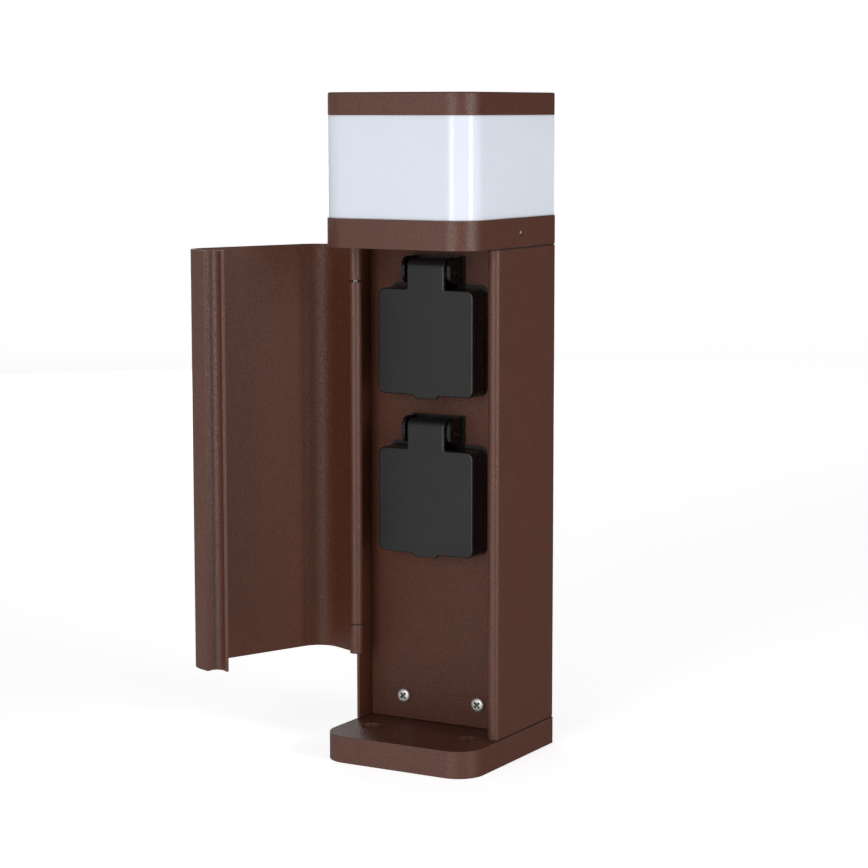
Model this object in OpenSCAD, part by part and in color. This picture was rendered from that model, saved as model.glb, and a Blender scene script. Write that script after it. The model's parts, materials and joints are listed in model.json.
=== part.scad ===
// Garden lamp post with two flap sockets behind a swinging door.
// Origin at the centre of the base underside, front towards -Y, millimetres.

/* [Post] */
// Width of the column across its front
body_w = 103; // [95:0.5:120]
// Depth of the column from door to back
body_d = 107; // [103:0.5:125]
// Radius of the two front corners
corner_r = 16.5; // [12:0.5:20]
// Radius of the two back corners
back_r = 1.2; // [0.8:0.1:3]
// Wall of the column extrusion
wall_t = 1.8; // [1.6:0.1:2.4]
// Height of the column extrusion
column_h = 291.7; // [285:0.1:330]
// Distance from the front of the post to the front edge of the left wall
left_wall_setback = 42.8; // [42.4:0.1:44]
// Distance from the front of the post to the tip of the right wall bead
bead_setback = 33.6; // [33:0.1:36]
// Width of the rounded bead on the right wall
bead_w = 7.5; // [6.5:0.1:8.5]

/* [Base] */
// Height of the base casting
base_h = 16.4; // [14:0.1:20]
// How far the base stands out past the column on each side
base_lip = 0.3; // [0:0.1:1]
// Top web of the base casting
base_web = 4; // [3:0.5:5]
// Outer skirt of the base casting
base_skirt = 3; // [2.5:0.5:4]
// Diameter of the four ground fixing holes
anchor_d = 7; // [5:0.5:8]
// Diameter of the recess for each ground fixing head
anchor_head_d = 13.5; // [12:0.5:15]
// Spacing of the ground fixing holes across the width
anchor_spacing_x = 67; // [60:1:70]
// Spacing of the ground fixing holes front to back
anchor_spacing_y = 55; // [52:1:58]
// Distance from the front of the post to the front fixing holes
anchor_setback = 31.5; // [28:0.5:34]
// Diameter of the cable bore in the grommet
cable_d = 9.5; // [7:0.5:10]

/* [Head] */
// Height of the collar under the diffuser
collar_h = 17.2; // [15:0.2:22]
// Wall of the collar
collar_wall = 2.6; // [2.2:0.1:3]
// Floor of the collar
collar_floor = 3; // [2.8:0.1:4]
// Height of the opal diffuser between collar and cap
diffuser_h = 60; // [45:1:120]
// Wall of the opal diffuser
diffuser_wall = 3; // [2.8:0.1:3.6]
// How far the diffuser and cap stand back from the collar face
head_inset = 0.55; // [0.3:0.05:0.8]
// Height of the top cap
cap_h = 13.3; // [11:0.1:20]
// Roof of the top cap
cap_roof = 3; // [2:0.5:4]

/* [Door] */
// Sheet thickness of the door
door_t = 2.4; // [2:0.1:3]
// Height of the lower door edge above the ground
door_z = 59; // [50:1:65]
// Gap between the door and the collar
door_top_gap = 0.8; // [0.6:0.1:2]
// How far the door stands open at rest
door_open_angle = 112; // [100:1:114]
// Outer diameter of the hinge barrels
barrel_d = 8; // [7.6:0.1:8.4]
// Diameter of the hinge pins
hinge_pin_d = 4; // [3:0.5:4.5]
// Distance from the left face of the post to the hinge axis
hinge_inset_x = 2.9; // [2.7:0.1:3.2]
// Distance from the front of the post to the hinge axis
hinge_setback = 37.9; // [37.5:0.1:38]
// Height of the lower fixed knuckle
lower_knuckle_h = 18; // [14:0.5:24]
// Height of the upper fixed knuckle
upper_knuckle_h = 20.5; // [15:0.5:26]
// Inner radius of the finger pull along the door edge
pull_r = 5.4; // [5:0.1:5.8]

/* [Socket panel] */
// Distance from the front of the post to the face of the socket panel
panel_setback = 57.5; // [57:0.5:60]
// Sheet thickness of the socket panel
panel_t = 1.6; // [1.2:0.1:2]
// Gap under the socket panel
panel_gap = 0.5; // [0.3:0.1:2]
// Spacing of the two panel screws
panel_screw_spacing = 52; // [44:1:56]
// Height of the panel screws above the base
panel_screw_rise = 14.6; // [12:0.1:18]

/* [Sockets] */
// Height of the lower socket centre above the ground
lower_socket_z = 155.9; // [150:0.5:158]
// Height between the two socket centres
socket_pitch = 96.2; // [94:0.2:98]
// Sideways offset of the sockets from the middle of the post
socket_x = -1.2; // [-2:0.1:1.5]
// Width of the socket flange
flange_w = 66.2; // [65.8:0.1:68]
// Height of the socket flange
flange_h = 64.6; // [64.2:0.1:66]
// Thickness of the socket flange
flange_t = 2; // [1.6:0.1:2.4]
// Diameter of the plug well
well_d = 39; // [38.5:0.1:40]
// Depth of the plug well
well_depth = 17.5; // [16:0.5:18]
// Spacing of the two pin holes
pin_spacing = 19; // [18.5:0.1:19.5]
// Diameter of the pin holes
pin_hole_d = 5.5; // [5:0.1:6]

/* [Flap lids] */
// Width of the lid
lid_w = 65.4; // [64:0.1:65.6]
// Height of the lid without its strap
lid_h = 63.7; // [63:0.1:64.5]
// Wall of the lid front
lid_t = 2; // [1.6:0.1:2.2]
// Wall of the lid skirt
skirt_t = 1.6; // [1.4:0.1:1.8]
// Distance from the socket panel to the lid face
lid_reach = 17.3; // [17:0.1:17.6]
// Width of the strap that carries the lid
strap_w = 25.6; // [24:0.2:27]
// Height of the lid pin above the socket centre
lid_pin_rise = 41.4; // [41:0.1:42]
// Distance from the socket panel to the lid pin
lid_pin_reach = 10.2; // [10:0.1:10.4]
// Diameter of the lid pin
lid_pin_d = 3; // [2.5:0.1:3.2]

/* [Hidden] */
$fn = 48;
eps = 0.01;

// Colours as the photograph shows them
rust = [0.37, 0.27, 0.24];
charcoal = [0.16, 0.17, 0.17];
black = [0.05, 0.05, 0.05];
opal = [0.88, 0.91, 0.96];
zinc = [0.75, 0.76, 0.77];
brass = [0.78, 0.62, 0.30];
lead_grey = [0.35, 0.36, 0.38];

// Clearances
fixed_fit = 0.02;
running_fit = 0.05;
thread_fit = 0.1;
seat_gap = 0.3;
end_float = 0.1;
loose_fit = 0.4;

// Heights of the main pieces
gasket_t = 0.6;
gasket_recess = 0.5;
column_z = base_h + gasket_t;
column_top = column_z + column_h;
collar_z = column_top + door_top_gap;
collar_top = collar_z + collar_h;
seal_t = 0.4;
diffuser_z = collar_top + seal_t;
diffuser_top = collar_top + diffuser_h - seal_t;
cap_z = collar_top + diffuser_h;
cap_top = cap_z + cap_h;

// Plan positions, measured back from the front face
front_y = -body_d / 2;
left_wall_y = front_y + left_wall_setback;
bead_y = front_y + bead_setback;
bead_depth = bead_w + 1;
bead_r = bead_w / 2 - 0.15;
panel_y = front_y + panel_setback;
hinge_x = -body_w / 2 + hinge_inset_x;
hinge_y = front_y + hinge_setback;
anchor_front_y = front_y + anchor_setback;
anchor_mid_y = anchor_front_y + anchor_spacing_y / 2;
socket_heights = [lower_socket_z, lower_socket_z + socket_pitch];

// Screw ports of the extrusion, shared by base and collar
port_bore_r = 2.1;
port_r = 3.6;
port_mouth = 2.2;
port_inset_x = 6.9;
port_front_y = panel_y + panel_t + 7;
port_back_y = body_d / 2 - 7.1;
port_x = body_w / 2 - port_inset_x;
ports = [for (x = [-port_x, port_x], y = [port_front_y, port_back_y]) [x, y]];
rest_rib_t = 1.6;
rest_rib_w = 3;

// Fastener sizes
m4_r = 2;
m4_head_r = 3.7;
m4_head_h = 2.4;
m3_r = 1.5;
m3_head_r = 2.75;
m3_head_h = 1.8;
drive_w = 0.9;
drive_depth = 1.1;
base_screw_l = 20;
collar_screw_l = 18;
led_screw_l = 6;
panel_head_r = 4.5;

// Base casting
anchor_boss_r = 10;
anchor_head_depth = 6;
base_rib_t = 3;
grommet_y = panel_y + 24;
grommet_r = cable_d / 2 + 2.4;
grommet_lip = 1.6;
lug_w = 12;
lug_d = 8;
lug_h = panel_screw_rise + 7;

// Door
door_h = column_top - door_z;
notch_r = barrel_d / 2 + 1.6;
pull_t = 2;
pull_x = body_w / 2 - 3.3;
pull_edge = 4.4;
pull_y = front_y + 28.9;
washer_t = 0.5;
door_barrel_z = door_z + lower_knuckle_h + washer_t + 2 * end_float;
upper_knuckle_z = column_top - upper_knuckle_h;
pin_gap = 1.2;
door_barrel_top = upper_knuckle_z - pin_gap;
pin_hold = 16;
pin_reach = 15;

// Head
tongue_clear = 0.35;
tongue_inset = collar_wall + tongue_clear;
tongue_t = 2.1;
tongue_drop = 5;
tongue_tie = 2;
cap_wall = collar_wall - 0.4;
ring_w = 4.6;
ring_z = collar_z + collar_floor;
ring_h = collar_h - collar_floor - tongue_drop;
grub_y = 9.4;
grub_z = collar_z + 8.5;
grub_l = 5.4;
grub_sink = 0.8;
grub_socket_r = 1.15;
board_w = 62;
board_t = 1.6;
board_post_h = 5.5;
board_post_r = 3.5;
board_z = ring_z + board_post_h;
board_screw = 25;
chip_w = 5;
chip_h = 0.8;
chip_ring_r = 20;
chip_count = 12;
lamp_hole_r = 4;
lamp_hole = [16, body_d / 2 - wall_t - 10];
tab_w = 11.6;
tab_h = 2.4;

// Wiring space
driver_size = [60, 17, 26];
driver_z = column_top - 36;
driver_y = body_d / 2 - wall_t - driver_size[1];
terminal_size = [48, 12, 20];
terminal_z = base_h + 26;
terminal_y = body_d / 2 - wall_t - terminal_size[1];
lead_r = 2.5;
terminal_play = 0.7;
lead_end_gap = 0.8;
lead_side_x = 16;
lead_straight = 10;
board_lead_r = 1.75;

// Sockets, measured forwards from the face of the socket panel
frame_gasket_t = 0.7;
gasket_brow = 2;
hood_plate_w = 36.2;
hood_plate_rise = 0.4;
hood_plate_t = 0.7;
flange_front = frame_gasket_t + flange_t;
skirt_clear = 2.5;
spigot_w = lid_w - 2 * (skirt_t + skirt_clear);
spigot_h = lid_h - 2 * (skirt_t + skirt_clear);
spigot_front = 13;
spigot_t = 2;
web_front = 9.5;
web_t = 2;
rim_t = 2;
rim_r = 25.5;
well_r = well_d / 2;
well_wall = 2.1;
well_out_r = well_r + well_wall;
rim_front = web_front + rim_t;
floor_t = 3;
floor_back = well_depth + floor_t - rim_front;
frame_screw_x = spigot_w / 2 - 6.4;
frame_screw_z = spigot_h / 2 - 6.4;
screw_pillar_r = 3.2;
flange_corner_r = 5;
spigot_corner_r = 4;
clip_w = 6;
clip_t = 0.6;
clip_slot = clip_w + 1;
clip_slot_in = 1.4;
clip_slot_out = 1;
clip_foot = 4.8;
clip_foot_z = well_r - 3.3;
housing_w = 42;
housing_h = 36;
housing_depth = 16;
housing_wall = 2;
shutter_gap = 0.5;
shutter_t = 2;
shutter_hub_r = 4;
shutter_post_r = 2;
shutter_arm_w = 7.4;
shutter_reach = pin_spacing / 2 + 3.8;
shutter_angle = 42;
contact_r = 3.4;
contact_bore_r = 2.5;
contact_l = 9;

// Lids
lid_corner_r = 4.5;
lid_depth = lid_reach - flange_front - seat_gap;
strap_t = 2;
strap_round = 4.8;
strap_rise = 8.4;
ear_t = 2.2;
ear_gap = 1.8;
ear_r = 6.6;
ear_lift = 3;
ear_x = strap_w / 2 + ear_gap;
ear_recess_r = 3;
ear_recess = 0.5;
lid_barrel_r = 4.2;
lid_barrel_l = 8.4;
tab_top_w = 17.5;
tab_bottom_w = 14;
tab_drop = 2.1;
tab_t = 2.6;
lid_seal_w = 3;
lid_seal_t = lid_reach - lid_t - spigot_front - seat_gap;
lid_spring_r = 2.9;
lid_spring_wire = 0.7;
lid_spring_turns = 5;

// Flat shape helpers

// Plan outline of the post, drawn in by an inset on every side
module plan(inset = 0) {
    w = body_w - 2 * inset;
    d = body_d - 2 * inset;
    rf = corner_r - inset;
    rb = max(back_r - inset, 0.4);
    translate([-w / 2, -d / 2 + rf]) square([w, d - rf - rb]);
    translate([-w / 2 + rf, -d / 2]) square([w - 2 * rf, rf + eps]);
    translate([-w / 2 + rb, d / 2 - rb - eps]) square([w - 2 * rb, rb + eps]);
    for (s = [-1, 1]) {
        translate([s * (w / 2 - rf), -d / 2 + rf]) circle(rf);
        translate([s * (w / 2 - rb), d / 2 - rb]) circle(rb);
    }
}

// Rectangle with four round corners, centred
module rounded(w, h, r) {
    square([w, h - 2 * r], center = true);
    square([w - 2 * r, h], center = true);
    for (x = [-1, 1], y = [-1, 1])
        translate([x * (w / 2 - r), y * (h / 2 - r)]) circle(r);
}

// A plate in the XZ plane from depth y0 to y0 + t
module plate(y0, t) {
    translate([0, y0 + t, 0]) rotate([90, 0, 0]) linear_extrude(t) children();
}

// A profile drawn in the YZ plane, carried along X
module across(x0, w) {
    translate([x0, 0, 0]) rotate([90, 0, 90]) linear_extrude(w) children();
}

// A cylinder along +Y that starts at depth y0
module rod_y(y0, length, r) {
    translate([0, y0, 0]) rotate([-90, 0, 0]) cylinder(h = length, r = r);
}

// A cylinder along X, centred
module rod_x(length, r) {
    rotate([0, 90, 0]) cylinder(h = length, r = r, center = true);
}

// Pan head screw that points along -Z, head on z = 0
module pan_screw(r, length, head_r, head_h) {
    difference() {
        union() {
            translate([0, 0, -length]) cylinder(h = length + eps, r = r);
            cylinder(h = head_h, r = head_r);
        }
        cross_recess(head_h, head_r);
    }
}

// Countersunk screw that points along -Z, head top on z = 0
module flat_screw(r, length, head_r) {
    difference() {
        union() {
            translate([0, 0, -length]) cylinder(h = length, r = r);
            translate([0, 0, r - head_r]) cylinder(h = head_r - r, r1 = r, r2 = head_r);
        }
        cross_recess(0, head_r);
    }
}

// Cross recess cut into a screw head that ends at z = top
module cross_recess(top, head_r) {
    for (a = [0, 90])
        rotate([0, 0, a])
            translate([-head_r * 0.6, -drive_w / 2, top - drive_depth])
                cube([head_r * 1.2, drive_w, drive_depth + 1]);
}

// Base

module base_plate() {
    color(rust)
    difference() {
        union() {
            difference() {
                linear_extrude(base_h) plan(-base_lip);
                translate([0, 0, -eps]) linear_extrude(base_h - base_web + eps) plan(base_skirt);
            }
            base_ribs();
            for (p = anchor_points()) translate(p) cylinder(h = base_h - eps, r = anchor_boss_r);
            translate([0, grommet_y, 0]) cylinder(h = base_h - eps, r = grommet_r + 3);
            panel_lugs();
        }
        for (p = anchor_points()) {
            translate([p[0], p[1], -1]) cylinder(h = base_h + 2, r = anchor_d / 2);
            translate([p[0], p[1], base_h - anchor_head_depth])
                cylinder(h = anchor_head_depth + 1, r = anchor_head_d / 2);
        }
        for (p = ports)
            translate([p[0], p[1], 0]) {
                cylinder(h = base_h + 1, r = m4_r + 0.25);
                translate([0, 0, -1]) cylinder(h = base_h - base_web + 1, r = m4_head_r + thread_fit);
            }
        translate([0, grommet_y, -1]) cylinder(h = base_h + 2, r = grommet_r);
        for (s = [-1, 1])
            translate([s * panel_screw_spacing / 2, 0, base_h + panel_screw_rise])
                rod_y(panel_y, panel_t + lug_d - 1, m4_r - 0.25 + fixed_fit);
    }
}

function anchor_points() = [
    for (x = [-1, 1], y = [-1, 1])
        [x * anchor_spacing_x / 2, anchor_mid_y + y * anchor_spacing_y / 2]
];

// Stiffening ribs under the web, one crossing the middle of the underside
module base_ribs() {
    translate([-body_w / 2 + 1, -base_rib_t / 2, 0]) cube([body_w - 2, base_rib_t, base_h - 1]);
    translate([-base_rib_t / 2, -body_d / 2 + 1, 0]) cube([base_rib_t, body_d / 2, base_h - 1]);
}

// Upright lugs that the panel is screwed to
module panel_lugs() {
    for (s = [-1, 1])
        translate([s * panel_screw_spacing / 2 - lug_w / 2, panel_y + panel_t, base_h - 1])
            cube([lug_w, lug_d, lug_h + 1]);
}

module base_gasket() {
    color(black)
    translate([0, 0, base_h]) linear_extrude(gasket_t) gasket_section();
}

module base_screws() {
    color(zinc)
    for (p = ports)
        translate([p[0], p[1], base_h - base_web]) mirror([0, 0, 1])
            pan_screw(m4_r, base_screw_l, m4_head_r, m4_head_h);
}

module cable_grommet() {
    color(black)
    translate([0, grommet_y, 0])
    difference() {
        union() {
            translate([0, 0, base_h - 8]) cylinder(h = 8, r = grommet_r - fixed_fit);
            translate([0, 0, base_h]) cylinder(h = grommet_lip, r = grommet_r + 2);
            translate([0, 0, base_h + grommet_lip - eps])
                cylinder(h = 5, r1 = grommet_r, r2 = cable_d / 2 + 1.2);
        }
        translate([0, 0, base_h - 9]) cylinder(h = 20, r = cable_d / 2);
    }
}

// Column

// U-shaped section of the column: back wall, two side walls and the front bead
module channel_walls() {
    difference() {
        plan();
        plan_inner();
        translate([-body_w, -body_d]) square([body_w, body_d + left_wall_y]);
        translate([-eps, -body_d]) square([body_w, body_d + bead_y + bead_r]);
    }
    bead();
}

module plan_inner() {
    translate([-body_w / 2 + wall_t, -body_d])
        square([body_w - 2 * wall_t, body_d * 1.5 - wall_t]);
}

// Rounded bead along the front of the right wall
module bead() {
    translate([body_w / 2 - bead_w, bead_y]) {
        translate([0, bead_r]) square([bead_w, bead_depth - bead_r]);
        translate([bead_r, 0]) square([bead_w - 2 * bead_r, bead_r + eps]);
        for (x = [bead_r, bead_w - bead_r]) translate([x, bead_r]) circle(bead_r);
    }
}

// Column section without its outermost skin, so the gasket sits back in the joint
module gasket_section() {
    intersection() {
        channel_walls();
        plan(gasket_recess);
    }
}

// Screw port on its rib, open towards the middle of the post
module port(p) {
    s = p[0] > 0 ? 1 : -1;
    difference() {
        union() {
            translate(p) circle(port_r);
            translate([min(p[0], s * (body_w / 2 - 1)), p[1] - 1])
                square([port_inset_x - 1, 2]);
        }
        translate(p) circle(port_bore_r);
        translate([min(p[0], p[0] - s * port_r * 1.5), p[1] - port_mouth / 2])
            square([port_r * 1.5, port_mouth]);
    }
}

// Ribs on the side walls that the panel lies against
module rest_ribs() {
    for (s = [-1, 1])
        translate([s * (body_w / 2 - wall_t - rest_rib_w / 2), panel_y + panel_t + rest_rib_t / 2])
            square([rest_rib_w + 1, rest_rib_t], center = true);
}

// Section of a fixed hinge knuckle with its web to the left wall
module fixed_knuckle() {
    difference() {
        union() {
            translate([hinge_x, hinge_y]) circle(barrel_d / 2);
            translate([-body_w / 2, hinge_y]) square([door_t, left_wall_y - hinge_y + 1]);
        }
        translate([hinge_x, hinge_y]) circle(hinge_pin_d / 2 + fixed_fit);
    }
}

module column_body() {
    color(rust) {
        translate([0, 0, column_z]) linear_extrude(column_h) {
            channel_walls();
            for (p = ports) port(p);
            rest_ribs();
        }
        translate([0, 0, door_z]) linear_extrude(lower_knuckle_h) fixed_knuckle();
        translate([0, 0, upper_knuckle_z]) linear_extrude(upper_knuckle_h) fixed_knuckle();
    }
}

// Socket panel

module socket_panel() {
    color(rust)
    difference() {
        plate(panel_y, panel_t) {
            panel_bottom = base_h + panel_gap;
            translate([-panel_w() / 2, panel_bottom]) square([panel_w(), collar_z - seat_gap - panel_bottom]);
            for (s = [-1, 1])
                translate([s * panel_screw_spacing / 2 - tab_w / 2, collar_z - 2 * seat_gap])
                    square([tab_w, tab_h]);
        }
        for (z = socket_heights)
            translate([socket_x, panel_y, z]) {
                rod_y(-1, panel_t + 2, well_out_r + 1);
                frame_screw_places() rod_y(-1, panel_t + 2, m3_r + fixed_fit);
            }
        for (s = [-1, 1])
            translate([s * panel_screw_spacing / 2, 0, base_h + panel_screw_rise])
                rod_y(panel_y - 1, panel_t + 2, m4_r + 0.2);
    }
}

function panel_w() = body_w - 2 * wall_t - 2 * seat_gap;

module panel_screws() {
    color(zinc)
    for (s = [-1, 1])
        translate([s * panel_screw_spacing / 2, panel_y, base_h + panel_screw_rise])
            rotate([90, 0, 0]) pan_screw(m4_r - 0.25, panel_t + lug_d - 2, panel_head_r, m4_head_h);
}

// Wiring

module terminal_block() {
    color(black)
    translate([-terminal_size[0] / 2, terminal_y, terminal_z])
    difference() {
        cube(terminal_size);
        for (i = [0:2]) {
            x = terminal_size[0] * (i + 0.5) / 3;
            translate([x, terminal_size[1] / 2, -1]) cylinder(h = terminal_size[2] + 2, r = lead_r + terminal_play);
            for (z = [5, 15])
                translate([x, -eps, z]) rotate([-90, 0, 0]) cylinder(h = terminal_size[1] / 2, r = 1.8);
        }
    }
}

module led_driver() {
    color(lead_grey)
    translate([-driver_size[0] / 2, driver_y, driver_z])
    difference() {
        cube(driver_size);
        translate([8, -1, 6]) cube([driver_size[0] - 16, 1.6, driver_size[2] - 12]);
    }
}

// A round lead swept along points, as one closed tube
module lead(points, r, sides = 8) {
    rings = [for (i = [0:len(points) - 1]) ring_at(points, i, r, sides)];
    verts = [for (ring = rings) each ring];
    n = len(points);
    faces = concat(
        [[for (j = [0:sides - 1]) j]],
        [[for (j = [0:sides - 1]) n * sides - 1 - j]],
        [for (i = [0:n - 2], j = [0:sides - 1])
            [i * sides + j, (i + 1) * sides + j, (i + 1) * sides + (j + 1) % sides, i * sides + (j + 1) % sides]]
    );
    polyhedron(verts, faces, convexity = 6);
}

function unit(v) = v / norm(v);
function heading(points, i) =
    unit(points[min(i + 1, len(points) - 1)] - points[max(i - 1, 0)]);
function side_of(d) = abs(d[0]) < 0.9 ? unit(cross(d, [1, 0, 0])) : unit(cross(d, [0, 1, 0]));
function ring_at(points, i, r, sides) =
    let (d = heading(points, i), u = side_of(d), v = cross(d, u))
    [for (j = [0:sides - 1]) points[i] + r * (cos(360 * j / sides) * u + sin(360 * j / sides) * v)];

// Points on a smooth curve through four or more chosen points
function curve(k, steps = 5) = concat(
    [for (i = [0:len(k) - 2], s = [0:steps - 1]) spline_point(k, i, s / steps)],
    [k[len(k) - 1]]
);
function spline_point(k, i, t) =
    let (a = k[max(i - 1, 0)], b = k[i], c = k[i + 1], d = k[min(i + 2, len(k) - 1)])
    0.5 * (2 * b + (c - a) * t + (2 * a - 5 * b + 4 * c - d) * t * t + (3 * b - a - 3 * c + d) * t * t * t);

// Leads from the terminal block to both socket housings
module socket_leads() {
    start_y = terminal_y + terminal_size[1] / 2;
    start_z = terminal_z + terminal_size[2];
    rear = panel_y + housing_back() + lead_end_gap;
    bend_y = (rear + body_d / 2 - wall_t) / 2;
    run_in = rear + 0.7 * (bend_y - rear);
    turn = housing_h / 2 + 4;
    end_x = housing_w / 4;
    color(lead_grey)
    for (i = [0, 1]) {
        side = i == 0 ? -1 : 1;
        z = socket_heights[i];
        lead(curve([
            [side * lead_side_x, start_y, start_z - 8],
            [side * lead_side_x, start_y, start_z + lead_straight],
            [side * lead_side_x, (start_y + bend_y) / 2, (start_z + z - turn) / 2],
            [side * (end_x + 2), bend_y, z - turn],
            [side * end_x, run_in, z],
            [side * end_x, rear, z]
        ]), lead_r);
    }
}

// Leads from the terminal block to the driver and on to the light board
module lamp_leads() {
    start_y = terminal_y + terminal_size[1] / 2;
    start_z = terminal_z + terminal_size[2];
    end_y = driver_y + driver_size[1] / 2;
    color(lead_grey) {
        lead(curve([
            [0, start_y, start_z - 8],
            [0, start_y, start_z + lead_straight],
            [-2, end_y, (start_z + driver_z) / 2],
            [0, end_y, driver_z - 2 * lead_straight],
            [0, end_y, driver_z - lead_end_gap]
        ]), lead_r);
        lead(curve([
            [lamp_hole[0], lamp_hole[1], driver_z + driver_size[2] + lead_end_gap],
            [lamp_hole[0], lamp_hole[1], collar_z - 2],
            [lamp_hole[0], lamp_hole[1], ring_z - 0.5],
            [lamp_hole[0], lamp_hole[1] - 1.5, board_z - 1.5],
            [lamp_hole[0], board_w / 2 + 6, board_z + board_t / 2],
            [lamp_hole[0], board_w / 2 + lead_end_gap, board_z + board_t / 2]
        ]), board_lead_r);
    }
}

// Door, drawn closed and turned open about its hinge

module door_at_rest() {
    translate([hinge_x, hinge_y, 0]) rotate([0, 0, -door_open_angle])
        translate([-hinge_x, -hinge_y, 0]) children();
}

// Section of the door sheet: left leg, front, right leg with its finger pull
module door_section() {
    difference() {
        plan();
        plan(door_t);
        translate([-body_w, hinge_y]) square([body_w, body_d * 1.5]);
        translate([0, pull_y - pull_edge]) square([body_w, body_d * 1.5]);
    }
    finger_pull();
}

// Concave channel along the door edge, part of a ring round the fingertip space
module finger_pull() {
    start = -atan2(pull_edge, body_w / 2 - pull_x);
    translate([pull_x, pull_y])
    difference() {
        circle(pull_r + pull_t);
        circle(pull_r);
        polygon([[0, 0], 20 * [cos(start), sin(start)], 20 * [cos(start / 2 + 10), 0],
            20 * [cos(60), sin(60)], 20 * [cos(110), sin(110)], 20 * [cos(143), sin(143)]]);
        translate([body_w / 2 - pull_x, -20]) square([20, 40]);
    }
}

module door() {
    color(rust)
    door_at_rest()
    difference() {
        union() {
            translate([0, 0, door_z]) linear_extrude(door_h) door_section();
            translate([hinge_x, hinge_y, door_barrel_z])
                cylinder(h = door_barrel_top - door_barrel_z, r = barrel_d / 2);
        }
        translate([hinge_x, hinge_y, door_z - 1])
            cylinder(h = door_barrel_z - door_z + 1, r = notch_r);
        translate([hinge_x, hinge_y, door_barrel_top])
            cylinder(h = upper_knuckle_h + pin_gap + 1, r = notch_r);
        translate([hinge_x, hinge_y, door_z])
            cylinder(h = door_h, r = hinge_pin_d / 2 + running_fit);
    }
}

module hinge_pins() {
    color(zinc)
    translate([hinge_x, hinge_y, 0]) {
        translate([0, 0, door_z + lower_knuckle_h - pin_hold])
            cylinder(h = pin_hold + pin_reach, r = hinge_pin_d / 2);
        translate([0, 0, upper_knuckle_z - pin_gap - pin_reach])
            cylinder(h = pin_hold + pin_gap + pin_reach, r = hinge_pin_d / 2);
    }
}

module hinge_washer() {
    color(black)
    translate([hinge_x, hinge_y, door_z + lower_knuckle_h + end_float])
    difference() {
        cylinder(h = washer_t, r = barrel_d / 2 - 0.2);
        translate([0, 0, -1]) cylinder(h = washer_t + 2, r = hinge_pin_d / 2 + thread_fit);
    }
}

// Head

module collar_gasket() {
    color(black)
    translate([0, 0, column_top]) linear_extrude(door_top_gap) gasket_section();
}

module head_collar() {
    color(rust)
    difference() {
        union() {
            difference() {
                translate([0, 0, collar_z]) linear_extrude(collar_h) plan();
                translate([0, 0, ring_z]) linear_extrude(collar_h) plan(collar_wall);
            }
            for (x = [-1, 1], y = [-1, 1])
                translate([x * board_screw, y * board_screw, collar_z + 1])
                    cylinder(h = board_z - collar_z - 1, r = board_post_r);
        }
        for (x = [-1, 1], y = [-1, 1])
            translate([x * board_screw, y * board_screw, ring_z])
                cylinder(h = board_z, r = m3_r + fixed_fit);
        for (p = ports)
            translate([p[0], p[1], ring_z]) {
                translate([0, 0, -collar_floor - 1]) cylinder(h = collar_floor + 2, r = m4_r + 0.25);
                translate([0, 0, m4_r - m4_head_r])
                    cylinder(h = m4_head_r - m4_r + eps, r1 = m4_r + 0.25, r2 = m4_head_r + 0.25);
            }
        translate([lamp_hole[0], lamp_hole[1], collar_z - 1]) cylinder(h = collar_floor + 2, r = lamp_hole_r);
        for (s = [-1, 1]) {
            translate([s * panel_screw_spacing / 2 - tab_w / 2 - seat_gap, panel_y - seat_gap, collar_z - 1])
                cube([tab_w + 2 * seat_gap, panel_t + 2 * seat_gap, collar_floor]);
            translate([s * body_w / 2, grub_y, grub_z]) rod_x(2 * collar_wall + 2, m4_r + fixed_fit);
        }
    }
}

module collar_screws() {
    color(zinc)
    for (p = ports) translate([p[0], p[1], ring_z - 0.05]) flat_screw(m4_r, collar_screw_l, m4_head_r);
}

module grub_screws() {
    color(zinc)
    for (s = [0, 1])
        mirror([s, 0, 0])
            translate([body_w / 2 - grub_sink - grub_l / 2, grub_y, grub_z])
                difference() {
                    rod_x(grub_l, m4_r);
                    translate([grub_l / 2, 0, 0]) rotate([0, 90, 0])
                        cylinder(h = 4, r = grub_socket_r, center = true, $fn = 6);
                }
}

// Inner frame under the diffuser that the grub screws hold
module retaining_ring() {
    color(zinc)
    difference() {
        translate([0, 0, ring_z]) linear_extrude(ring_h) difference() {
            plan(tongue_inset);
            plan(tongue_inset + ring_w);
        }
        for (s = [-1, 1])
            translate([s * (body_w / 2 - tongue_inset), grub_y, grub_z]) rod_x(7, m4_r + 0.15);
    }
}

module led_board() {
    color("white")
    translate([0, 0, board_z])
    difference() {
        linear_extrude(board_t) rounded(board_w, board_w, 5);
        for (x = [-1, 1], y = [-1, 1])
            translate([x * board_screw, y * board_screw, -1]) cylinder(h = board_t + 2, r = m3_r + 0.1);
    }
}

module led_chips() {
    color("lemonchiffon")
    for (i = [0:chip_count - 1])
        rotate([0, 0, 360 * i / chip_count])
            translate([chip_ring_r - chip_w / 2, -chip_w / 2, board_z + board_t])
                cube([chip_w, chip_w, chip_h]);
}

module led_screws() {
    color(zinc)
    for (x = [-1, 1], y = [-1, 1])
        translate([x * board_screw, y * board_screw, board_z + board_t])
            pan_screw(m3_r, led_screw_l, m3_head_r, m3_head_h);
}

module diffuser_seal(z) {
    color(opal)
    translate([0, 0, z]) linear_extrude(seal_t) difference() {
        plan(head_inset + 0.4);
        plan(collar_wall - 0.1 - 0.4);
    }
}

module lower_diffuser_seal() {
    diffuser_seal(collar_top);
}

module upper_diffuser_seal() {
    diffuser_seal(diffuser_top);
}

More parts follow.
